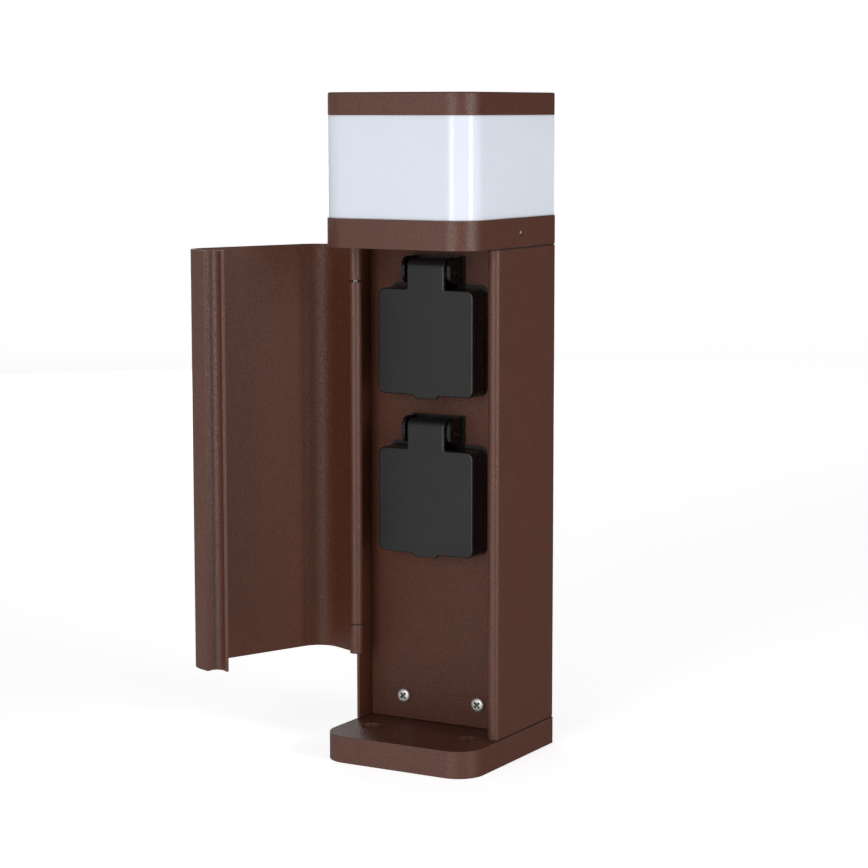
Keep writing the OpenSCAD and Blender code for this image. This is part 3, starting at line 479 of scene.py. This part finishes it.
metalLook = {
    "marks": (1400, 3.0, 0.6), "cloud": (260, 2.0, 0.5), "tones": (0.92, 1.04), "spread": (-0.05, 0.06),
    "bump": 0.10, "relief": 0.000003,
}


def platedSteel(name, colour, rough, brushed):
    # zinc or mill finish: metal with faint drag marks and clouded brightness
    material, tree, shader = newMaterial(name)
    marks = addNoise(tree, *metalLook["marks"], brushed)
    cloud = addNoise(tree, *metalLook["cloud"])
    paint(tree, shader, cloud, *shades(colour, metalLook["tones"]))
    shader.inputs["Metallic"].default_value = 1.0
    roughen(tree, shader, marks, *[rough + more for more in metalLook["spread"]])
    bump(tree, shader, marks, metalLook["bump"], metalLook["relief"])
    return material


rubberLook = {
    "colour": (0.010, 0.010, 0.010), "dust": (700, 3.0, 0.6), "tones": (1.0, 2.0), "band": (0.35, 0.80),
    "rough": (0.67, 0.82), "bump": 0.25, "relief": 0.00003,
}


def softRubber(name, look):
    # dull rubber with a little pale dust in its pores
    material, tree, shader = newMaterial(name)
    dust = addNoise(tree, *look["dust"])
    paint(tree, shader, dust, *shades(look["colour"], look["tones"]), look["band"])
    roughen(tree, shader, dust, *look["rough"])
    bump(tree, shader, dust, look["bump"], look["relief"])
    return material


boardLook = {
    "scale": 90, "line": 0.03, "mask": (0.80, 0.81, 0.80, 1), "shaded": (0.76, 0.78, 0.77, 1),
    "copper": (0.60, 0.63, 0.60, 1), "grain": (500, 3.0, 0.55), "rough": (0.34, 0.48),
}


def lampBoard(name, look):
    # white solder mask with a faint copper grid under it
    material, tree, shader = newMaterial(name)
    where = tree.nodes.new("ShaderNodeTexCoord")
    grid = tree.nodes.new("ShaderNodeTexBrick")
    grid.inputs["Scale"].default_value = look["scale"]
    grid.inputs["Mortar Size"].default_value = look["line"]
    grid.inputs["Color1"].default_value = look["mask"]
    grid.inputs["Color2"].default_value = look["shaded"]
    grid.inputs["Mortar"].default_value = look["copper"]
    tree.links.new(where.outputs["Object"], grid.inputs["Vector"])
    tree.links.new(grid.outputs["Color"], shader.inputs["Base Color"])
    roughen(tree, shader, addNoise(tree, *look["grain"]), *look["rough"])
    return material


def grainyCoat(name, low, high, grain, rough):
    # two tones in one fine cloud, which sets the roughness too
    material, tree, shader = newMaterial(name)
    cloud = addNoise(tree, *grain)
    paint(tree, shader, cloud, low, high)
    roughen(tree, shader, cloud, *rough)
    return material


buildStudio(studio)
print("camera and lamps placed")

coats = {
    # name: (colour, gloss)
    "rustCoat": ((0.087, 0.0245, 0.0110), 0.62),
    # insideCoat is painted shade: the same coat with much less sheen and a slightly changed colour, for
    # faces inside the recess and the door
    "insideCoat": ((0.085, 0.0262, 0.0135), 0.32),
}
mouldings = {
    # name: (colour, roughness, scale of the grain, relief, gloss)
    "charcoalGrain": ((0.0105, 0.0105, 0.0105), 0.31, 1500, 0.00002, 0.5),
    "frameBlack": ((0.003, 0.003, 0.003), 0.28, 1500, 0.00002, 0.5),
    "innerBlack": ((0.005, 0.005, 0.005), 0.42, 1200, 0.00003, 0.5),
    "caseGrey": ((0.22, 0.23, 0.24), 0.45, 1200, 0.00003, 0.3),
    "leadGrey": ((0.085, 0.085, 0.09), 0.55, 900, 0.00002, 0.3),
    "shutterWhite": ((0.66, 0.63, 0.55), 0.38, 1300, 0.00002, 0.3),
}
metals = {
    # name: (colour, roughness, how much denser the drag marks are along each axis)
    "brightZinc": ((0.80, 0.80, 0.78), 0.50, (1, 1, 1)),
    # recessShade is painted shade: dark grey for the faces inside screw recesses, where shade falls
    "recessShade": ((0.22, 0.22, 0.22), 0.50, (1, 1, 1)),
    # pinSteel is painted shade: hinge pins darkened to read as lying in the shade of their gaps
    "pinSteel": ((0.20, 0.19, 0.18), 0.36, (1, 1, 1)),
    "rolledBrass": ((0.78, 0.56, 0.24), 0.28, (1, 1, 8)),
    "millAluminium": ((0.74, 0.75, 0.76), 0.34, (1, 1, 12)),
}
grainy = {
    # name: (low tone, high tone, noise, roughness)
    "phosphorYellow": ((0.80, 0.62, 0.16), (0.92, 0.78, 0.30), (2500, 2.0, 0.5), (0.30, 0.40)),
    "clearSeal": ((0.62, 0.65, 0.68), (0.72, 0.75, 0.78), (400, 2.0, 0.5), (0.32, 0.45)),
}
finishes = {
    "opalSheet": opalPlastic("opalSheet", opalLook),
    "gasketRubber": softRubber("gasketRubber", rubberLook),
    "boardWhite": lampBoard("boardWhite", boardLook),
}
tables = ((powderCoat, coats), (mouldedPlastic, mouldings), (platedSteel, metals), (grainyCoat, grainy))
for make, table in tables:
    finishes.update({name: make(name, *values) for name, values in table.items()})
print("finishes made:", len(finishes))

# every solid that stays shown takes the finish of its slot
slotFinish = {
    "powder_coat": "rustCoat", "opal": "opalSheet", "socket_plastic": "charcoalGrain",
    "socket_inner": "innerBlack", "rubber": "gasketRubber", "clear_seal": "clearSeal",
    "zinc": "brightZinc", "brass": "rolledBrass", "raw_aluminium": "millAluminium",
    "board": "boardWhite", "light_source": "phosphorYellow", "driver_case": "caseGrey",
    "lead_sheath": "leadGrey", "shutter_white": "shutterWhite",
}
slotOf = {part["node"]: part["material_slot"] for part in frame["record"]["subparts"]}
for name, solid in nodes.items():
    solid.data.materials.clear()
    solid.data.materials.append(finishes[slotFinish[slotOf[name]]])
# the hinge pins take the darker steel: painted shade for the gaps they sit in
for name in ("hinge_pins", "upper_lid_pin", "lower_lid_pin"):
    nodes[name].data.materials[0] = finishes["pinSteel"]
coat = finishes["rustCoat"]

# floor
floorPlan = {
    # the sheet: half its depth in front, half its width, radius and start of the turn, height, and the
    # points along the flat, round the turn and across
    "half": 4.0, "wide": 6.0, "turn": 1.2, "back": 3.2, "tall": 3.0, "points": (12, 24, 10),
    # reflectance and how much of it the clouds take away, noise, roughness and gloss
    "pale": 0.80, "dusk": 0.01, "cloud": (3.0, 2.0, 0.5), "rough": 0.9, "gloss": 0.1,
    # the floor's own glow in the middle and at the sides, and the slopes between which it fades, taken
    # from a point this far in front of the post
    "glow": (0.70, 0.30), "glowSpread": (0.20, 0.90), "glowStart": 1.6, "nearest": 0.2,
}


def floorFinish(f, turn):
    # pale and dull, with a glow of its own that is full in the camera's wedge and fades to the sides,
    # by distance across over distance along
    material, tree, shader = newMaterial("paleFloor")
    paint(tree, shader, addNoise(tree, *f["cloud"]), (f["pale"] - f["dusk"],) * 3, (f["pale"],) * 3)
    shader.inputs["Roughness"].default_value = f["rough"]
    shader.inputs["Specular IOR Level"].default_value = f["gloss"]
    where = tree.nodes.new("ShaderNodeTexCoord")
    facing = tree.nodes.new("ShaderNodeMapping")
    facing.inputs["Rotation"].default_value = (0, 0, -turn)
    parts = tree.nodes.new("ShaderNodeSeparateXYZ")
    tree.links.new(where.outputs["Object"], facing.inputs["Vector"])
    tree.links.new(facing.outputs["Vector"], parts.inputs["Vector"])
    across = mathNode(tree, "ABSOLUTE", parts.outputs["X"])
    distance = mathNode(tree, "ADD", parts.outputs["Y"], f["glowStart"])
    along = mathNode(tree, "MAXIMUM", distance, f["nearest"])
    slope = mathNode(tree, "DIVIDE", across, along)
    shader.inputs["Emission Color"].default_value = (1, 1, 1, 1)
    tree.links.new(span(tree, slope, *f["glow"], *f["glowSpread"]), shader.inputs["Emission Strength"])
    return material


def floorSheet(f):
    # a level sheet that turns up behind on a quarter circle: distance along it gives y and z, flat
    # until the turn, then y = start + r sin(a) and z = r(1 - cos(a))
    turn = np.arctan2(viewPoint["back"][0], -viewPoint["back"][1])
    level, curved, sideways = f["points"]
    a = np.linspace(0, np.pi / 2, curved)[1:]
    flat = np.linspace(-f["half"], f["back"], level)
    depth = np.concatenate([flat, f["back"] + f["turn"] * np.sin(a), [f["back"] + f["turn"]]])
    rise = np.concatenate([np.zeros(level), f["turn"] * (1 - np.cos(a)), [f["tall"]]])
    width = np.linspace(-f["wide"], f["wide"], sideways)
    grid = np.stack(np.broadcast_arrays(width[None, :], depth[:, None], rise[:, None]), -1).reshape(-1, 3)
    # the sheet faces the camera, so it is turned with it about the post
    c, s = np.cos(turn), np.sin(turn)
    grid = grid @ np.array([[c, s, 0], [-s, c, 0], [0, 0, 1]])
    mesh = bpy.data.meshes.new("floorSheet")
    mesh.from_pydata(grid.tolist(), [], gridQuads(len(depth), len(width), wrapCols=False).tolist())
    mesh.materials.append(floorFinish(f, turn))
    mesh.polygons.foreach_set("use_smooth", np.full(len(mesh.polygons), True))
    sheet = bpy.data.objects.new("floorSheet", mesh)
    bpy.context.scene.collection.objects.link(sheet)
    # polished and lacquered faces mirror the sky and lamps, not the glowing sheet
    sheet.visible_glossy = False


floorSheet(floorPlan)

# top cap
cap = {
    "inset": 0.55, "low": 386.7, "top": 400.0, "wall": 2.2, "roof": 3.0,
    "edge": 0.9, "edgeSteps": 5, "lowEdge": 0.35, "lowSteps": 3, "cornerSteps": 14,
}


def capSurface(c):
    # rings of the post's plan drawn in by each (inset, height) pair: up the hollow, round the foot, up
    # the outside and over the rounded top edge to the middle
    over = quarterEdge(c["edge"], c["edgeSteps"])
    foot = quarterEdge(c["lowEdge"], c["lowSteps"])
    inner, ceiling, low, edge = c["inset"] + c["wall"], c["top"] - c["roof"], c["low"], c["lowEdge"]
    pairs = [(inner, ceiling), (inner, low + edge), (inner - edge, low)]
    pairs += [(c["inset"] + a, c["low"] + b) for a, b in foot]
    pairs += [(c["inset"] + a, c["top"] - b) for a, b in over[::-1]]
    return ringStack([planRing(a, z, c["cornerSteps"]) for a, z in pairs])


makePiece("capShell", capSurface(cap), "post", coat, ["top_cap"])

# diffuser
opal = {
    "inset": 0.55, "wall": 3.0, "low": 327.1, "high": 386.3, "tongueIn": 2.95, "tongue": 2.1, "drop": 5.4,
    "roof": 2.0, "floor": 1.6, "edge": 0.15, "edgeSteps": 2, "cornerSteps": 20,
}


def diffuserSurface(o):
    # one closed profile of (inset, height) carried round the post's plan: outer face, shoulder, tongue,
    # inner face
    outer, inner = o["inset"], o["inset"] + o["wall"]
    tongueOut, tongueIn = o["tongueIn"], o["tongueIn"] + o["tongue"]
    top, foot = o["high"] + o["drop"], o["low"] - o["drop"]
    roof, floor = o["high"] - o["roof"], o["low"] + o["floor"]
    corners = [
        (outer, o["low"]), (outer, o["high"]), (tongueOut, o["high"]), (tongueOut, top),
        (tongueIn, top), (tongueIn, roof), (inner, roof), (inner, floor),
        (tongueIn, floor), (tongueIn, foot), (tongueOut, foot), (tongueOut, o["low"]),
    ]
    profile = filletPath(corners, o["edge"], o["edgeSteps"])
    return ringStack([planRing(a, z, o["cornerSteps"]) for a, z in profile], wrapRows=True)


makePiece("opalBody", diffuserSurface(opal), "post", finishes["opalSheet"], ["diffuser"])
print("head surfaces made")

# aluminium pieces with softened corners
softEdges = {
    # node: (width of its rounded edges, finish)
    "column_body": (0.30, "rustCoat"), "head_collar": (0.40, "rustCoat"),
    # the socket panel takes the duller coat as painted shade for the recess
    "base_plate": (0.55, "rustCoat"), "socket_panel": (0.25, "insideCoat"),
}
for node, (width, finish) in softEdges.items():
    softenedCopy(node, "post", finishes[finish], "powder_coat", width)
# the door shut: a face looks inwards when the way to the post's middle, taken along its direction, is
# longer than lean, its place is short of pullFrom across, and it lies outside the barrel's radius
doorPlan = {
    "hinge": (-48.6, -15.6), "open": 112, "middle": (0.0, 0.0), "lean": 1.0, "pullFrom": 36.0,
    "barrel": 6.0, "edge": 0.30,
}


def faceMiddles(piece):
    # the middle of every face, in millimetres
    count = len(piece.data.polygons)
    middle = np.empty(count * 3)
    piece.data.polygons.foreach_get("center", middle)
    return middle.reshape(-1, 3) / mm


def doorInside(piece, d):
    # the door's face middles and directions are turned shut about the hinge; a face belongs to the
    # inside when its direction points to the post's middle, short of the finger pull and clear of the
    # hinge barrel
    middle = faceMiddles(piece)[:, :2] - d["hinge"]
    normal = np.empty(len(middle) * 3)
    piece.data.polygons.foreach_get("normal", normal)
    normal = normal.reshape(-1, 3)[:, :2]
    c, s = np.cos(np.radians(d["open"])), np.sin(np.radians(d["open"]))
    shut = np.array([[c, s], [-s, c]])
    away = np.linalg.norm(middle, axis=1)
    middle, normal = middle @ shut + d["hinge"], normal @ shut
    inside = ((d["middle"] - middle) * normal).sum(1) > d["lean"]
    return inside & (middle[:, 0] < d["pullFrom"]) & (away > d["barrel"])


doorPiece = softenedCopy("door", "door", coat, "powder_coat", doorPlan["edge"])
# the door's inside faces take the duller coat: painted shade
doorPiece.data.materials.append(finishes["insideCoat"])
doorPiece.data.polygons.foreach_set("material_index", doorInside(doorPiece, doorPlan).astype(np.int32))
print("softened aluminium pieces made")

# flap lids
flap = {
    # the lid's place, then its plate, skirt, strap and tab; all that follows is measured from that place
    "x": -1.2, "face": -13.3, "heights": {"upper": 252.1, "lower": 155.9},
    "w": 65.4, "h": 63.7, "corner": 4.5, "plate": 2.0, "edge": 1.1,
    "depth": 14.3, "skirt": 1.6, "clear": 0.02, "skirtFrom": 1.0, "rim": (0.4, 0.3),
    "strap": 25.6, "curl": 4.8, "top": 49.8, "neck": 1.0, "sharp": 0.02, "topBand": 0.05,
    "tabTop": 17.5, "tabFoot": 14.0, "tabDrop": 2.1,
    # pin, barrels and the feet that join them to the plate
    "pinY": 7.1, "pinZ": 41.4, "pinHole": 1.55, "barrel": 4.2, "barrelLong": 8.4, "barrelEdge": 0.3,
    "foot": (-3.4, -1.2), "footIn": (0.4, 2.0), "footCorner": 0.3, "footEdge": 0.1,
    # points along each curve
    "cornerSteps": 6, "skirtSteps": 8, "edgeSteps": 4, "footSteps": 2, "curlSteps": 15, "barrelSteps": 40,
}
# rounded edges of the flange frames
frameEdge = {"width": 0.35, "segments": 3}


def lidFace(f):
    # outline of plate, strap and tab as one polygon with rounded corners, its front edge rolled over;
    # the strap's top end isn't drawn in, because the curl goes on from it
    w, h, s = f["w"] / 2, f["h"] / 2, f["strap"] / 2
    z = f["top"] - f["curl"]
    tab, foot, low = f["tabTop"] / 2, f["tabFoot"] / 2, -h - f["tabDrop"]
    corners = [
        (-w, -h), (-tab, -h), (-foot, low), (foot, low), (tab, -h), (w, -h),
        (w, h), (s, h), (s, z), (-s, z), (-s, h), (-w, h),
    ]
    big, small, sharp = f["corner"], f["neck"], f["sharp"]
    radii = [big, small, small, small, small, big, big, small, sharp, sharp, small, big]
    outline = filletPath(corners, radii, f["cornerSteps"])
    atTop = outline[:, 1] > z - f["topBand"]
    rings = []
    for inset, drop in quarterEdge(f["edge"], f["edgeSteps"]):
        flat = insetPath(outline, inset)
        flat[atTop, 1] = outline[atTop, 1]
        rings.append(levelRing(flat, -drop))
    rings.append(levelRing(outline, -f["plate"]))
    return stoodUp(cappedStack(rings))


def skirtRing(f, inset, depth):
    # the lid's rounded rectangle drawn in on every side, at one depth behind the face
    w, h, r = f["w"] - 2 * inset, f["h"] - 2 * inset, f["corner"] - inset
    outline = roundedRect(w, h, r, f["skirtSteps"])
    return levelRing(outline, -depth)


def lidSkirt(f):
    # the rounded rectangle as a wall from behind the plate to the rim, with a rounded rim
    clear, start, depth, wall = f["clear"], f["skirtFrom"], f["depth"], f["skirt"]
    outside, inside = f["rim"]
    pairs = [
        (clear, start), (clear, depth - outside), (outside, depth),
        (wall - inside, depth), (wall, depth - inside), (wall, start),
    ]
    return stoodUp(ringStack([skirtRing(f, a, b) for a, b in pairs], wrapRows=True))


def lidCurl(f):
    # the strap's section carried a quarter turn round the curl's centre: y = c - r cos(a) and
    # z = c + r sin(a)
    s, t = f["strap"] / 2, f["plate"]
    curve = quarterEdge(f["edge"], f["edgeSteps"])
    left = np.column_stack([-s + curve[:, 0], curve[:, 1]])
    section = np.concatenate([left[::-1], left * [-1, 1], [(s, t), (-s, t)]])
    a = np.linspace(0, np.pi / 2, f["curlSteps"])[:, None]
    r = (f["curl"] - section[:, 1])[None, :]
    y = f["curl"] - r * np.cos(a)
    z = f["top"] - f["curl"] + r * np.sin(a)
    x = np.broadcast_to(section[:, 0][None, :], y.shape)
    return ringStack(np.stack([x, y, z], -1))


def lidBarrels(f):
    # two barrels on the pin, each with a bore, and a foot that joins it to the plate
    shapes = []
    r, hole, half, edge = f["barrel"], f["pinHole"], f["barrelLong"] / 2, f["barrelEdge"]
    profile = np.array([
        (hole, -half), (r - edge, -half), (r, edge - half),
        (r, half - edge), (r - edge, half), (hole, half),
    ])
    radius, along = profile[:, 0][:, None], profile[:, 1][:, None]
    t = np.linspace(0, 2 * np.pi, f["barrelSteps"], endpoint=False)
    y, z = f["pinY"] + radius * np.cos(t), f["pinZ"] + radius * np.sin(t)
    for side in (-1, 1):
        x = side * (f["strap"] / 2 - half)
        rings = np.stack([np.broadcast_to(x + along, y.shape), y, z], -1)
        shapes.append(ringStack(rings, wrapRows=True))
        wide, tall = f["footIn"]
        foot = roundedRect(2 * half - wide, 2 * r - tall, f["footCorner"], f["footSteps"])
        verts, faces = stoodUp(prism(foot, *f["foot"], f["footEdge"], f["footSteps"]))
        shapes.append((verts + [x, 0, f["pinZ"]], faces))
    return joined(*shapes)


def buildLid(which, f):
    # face, skirt, curl and barrels in one piece, moved to the socket's place
    verts, faces = joined(lidFace(f), lidSkirt(f), lidCurl(f), lidBarrels(f))
    verts = verts + [f["x"], f["face"], f["heights"][which]]
    node = which + "_lid"
    makePiece(which + "Flap", (verts, faces), node, finishes["charcoalGrain"], [node])


for which in ("upper", "lower"):
    buildLid(which, flap)
    softenedCopy(which + "_socket_frame", "post", finishes["frameBlack"], "socket_plastic", **frameEdge)
print("flap lids made")

# screws
# the dome and the driven cross, in shares of the head's height and of the recess's radius
cross = {
    "dome": 0.8, "turn": 45, "deep": 0.8, "half": 0.24, "step": 0.07, "slope": 0.45,
    # shadeHalf and shadeLong bound the cross's faces that take the painted shade
    "shadeHalf": 0.21, "shadeLong": 0.92,
}


def panHead(radius, height, shank, length, recess, sides, rings):
    # the dome is a function of radius and angle: height times the root of (1 - dome q^4), with q the
    # share of the radius, less a cross whose arms step down across their width and slope up along
    # their length
    q = np.sqrt(np.linspace(0.0, 1.0, rings))[:, None]
    t = np.linspace(0, 2 * np.pi, sides, endpoint=False)[None, :]
    x, y = q * radius * np.cos(t), q * radius * np.sin(t)
    dome = height * np.sqrt(1 - cross["dome"] * q ** 4)
    c, s = np.cos(np.radians(cross["turn"])), np.sin(np.radians(cross["turn"]))
    across, along = np.abs(x * c + y * s), np.abs(y * c - x * s)

    def arm(a, b):
        # full depth inside the arm's width, sloping up to nothing at its end
        wall = np.clip((recess * cross["half"] - a) / (recess * cross["step"]), 0, 1)
        return wall * np.clip((recess - b) / (recess * cross["slope"]), 0, 1)

    z = dome - np.maximum(arm(across, along), arm(along, across)) * height * cross["deep"]
    top = np.stack([x, y, z], -1)[::-1]
    t = t[0]
    circle = np.column_stack([np.cos(t), np.sin(t)])
    side = [levelRing(r * circle, level) for r, level in ((shank, -length), (shank, 0.0), (radius, 0.0))]
    return ringStack(np.concatenate([side, top]))


def placedAlong(shape, place, toward):
    # turns a shape that points along +Z so that it points along toward, then moves it
    verts, faces = shape
    turn = np.array(Vector((0, 0, 1)).rotation_difference(Vector(toward)).to_matrix())
    return verts @ turn.T + np.asarray(place, float), faces


def paintRecessShade(piece, mask):
    # painted shade: the faces of a screw's driven recess take a dark grey finish that stands in for the
    # shade inside it
    piece.data.materials.append(finishes["recessShade"])
    piece.data.polygons.foreach_set("material_index", mask.astype(np.int32))


def inCross(middle, place, recess):
    # true for faces in the driven cross, by the same arms as the head's own formula; these faces take the
    # painted shade
    x, z = middle[:, 0] - place[0], middle[:, 2] - place[2]
    c, s = np.cos(np.radians(cross["turn"])), np.sin(np.radians(cross["turn"]))
    a, b = np.abs(x * c + z * s), np.abs(z * c - x * s)
    narrow, reach = np.minimum(a, b), np.maximum(a, b)
    inArm = (narrow < recess * cross["shadeHalf"]) & (reach < recess * cross["shadeLong"])
    return inArm & (middle[:, 1] < place[1])


def crossScrews(name, screw, places, stands):
    # one head and shank at each place, pointing to the front
    sizes = ("radius", "height", "shank", "length", "recess", "sides", "rings")
    head = panHead(*[screw[key] for key in sizes])
    shape = joined(*[placedAlong(head, place, (0, -1, 0)) for place in places])
    piece = makePiece(name, shape, "post", finishes["brightZinc"], [stands])
    middle = faceMiddles(piece)
    # the faces of the cross take the painted shade
    paintRecessShade(piece, np.any([inCross(middle, place, screw["recess"]) for place in places], axis=0))


panelScrew = {
    "x": 26.0, "y": 4.0, "z": 31.0,
    "radius": 4.5, "height": 2.4, "shank": 1.75, "length": 7.6, "recess": 2.6,
    "sides": 96, "rings": 34,
}
places = [(side * panelScrew["x"], panelScrew["y"], panelScrew["z"]) for side in (-1, 1)]
crossScrews("panelScrewHeads", panelScrew, places, "panel_screws")

frameScrew = {
    "x": 22.2, "z": 21.35, "y": -5.5,
    "radius": 2.75, "height": 1.8, "shank": 1.5, "length": 13.1, "recess": 1.6,
    "sides": 64, "rings": 20,
}
for which in ("upper", "lower"):
    corners = [(sx, sz) for sx in (-1, 1) for sz in (-1, 1)]
    places = [
        (flap["x"] + sx * frameScrew["x"], frameScrew["y"], flap["heights"][which] + sz * frameScrew["z"])
        for sx, sz in corners
    ]
    crossScrews(which + "FrameScrewHeads", frameScrew, places, which + "_frame_screws")

setScrew = {
    "x": 48.0, "y": 9.4, "z": 318.0,
    "radius": 2.0, "length": 5.4, "socket": 1.15, "deep": 2.0, "chamfer": 0.5, "sides": 48,
    # faces of the socket that take the painted shade lie from this far inside the screw's middle to this
    # far short of its end
    "shadeFrom": -1.0, "shadeShort": 0.02,
}


def socketScrew(s):
    # round rings, then six-sided ones: a hexagon's radius is its corner radius times cos 30, over the
    # cosine of the angle from the middle of the nearest side
    t = np.linspace(0, 2 * np.pi, s["sides"], endpoint=False)
    hexagon = s["socket"] * np.cos(np.pi / 6) / np.cos(t % (np.pi / 3) - np.pi / 6)
    half = s["length"] / 2
    r, c = s["radius"], s["chamfer"]
    levels = [
        (r - c, -half), (r, c - half), (r, half - c), (r - c, half),
        (hexagon, half), (hexagon, half - s["deep"]),
    ]
    return ringStack([levelRing(np.column_stack([a * np.cos(t), a * np.sin(t)]), z) for a, z in levels])


def buildSetScrews(s):
    # one in each side of the collar, the socket's own faces in painted shade
    grub = socketScrew(s)
    places = [(side * s["x"], s["y"], s["z"]) for side in (-1, 1)]
    shape = joined(*[placedAlong(grub, place, (np.sign(place[0]), 0, 0)) for place in places])
    piece = makePiece("socketSetScrews", shape, "post", finishes["brightZinc"], ["grub_screws"])
    middle = faceMiddles(piece)
    off = np.hypot(middle[:, 1] - s["y"], middle[:, 2] - s["z"])
    reach = np.abs(middle[:, 0]) - s["x"]
    within = (reach > s["shadeFrom"]) & (reach < s["length"] / 2 - s["shadeShort"])
    # the hexagon socket's faces take the painted shade
    paintRecessShade(piece, (off < s["socket"]) & within)


buildSetScrews(setScrew)
print("screws made")
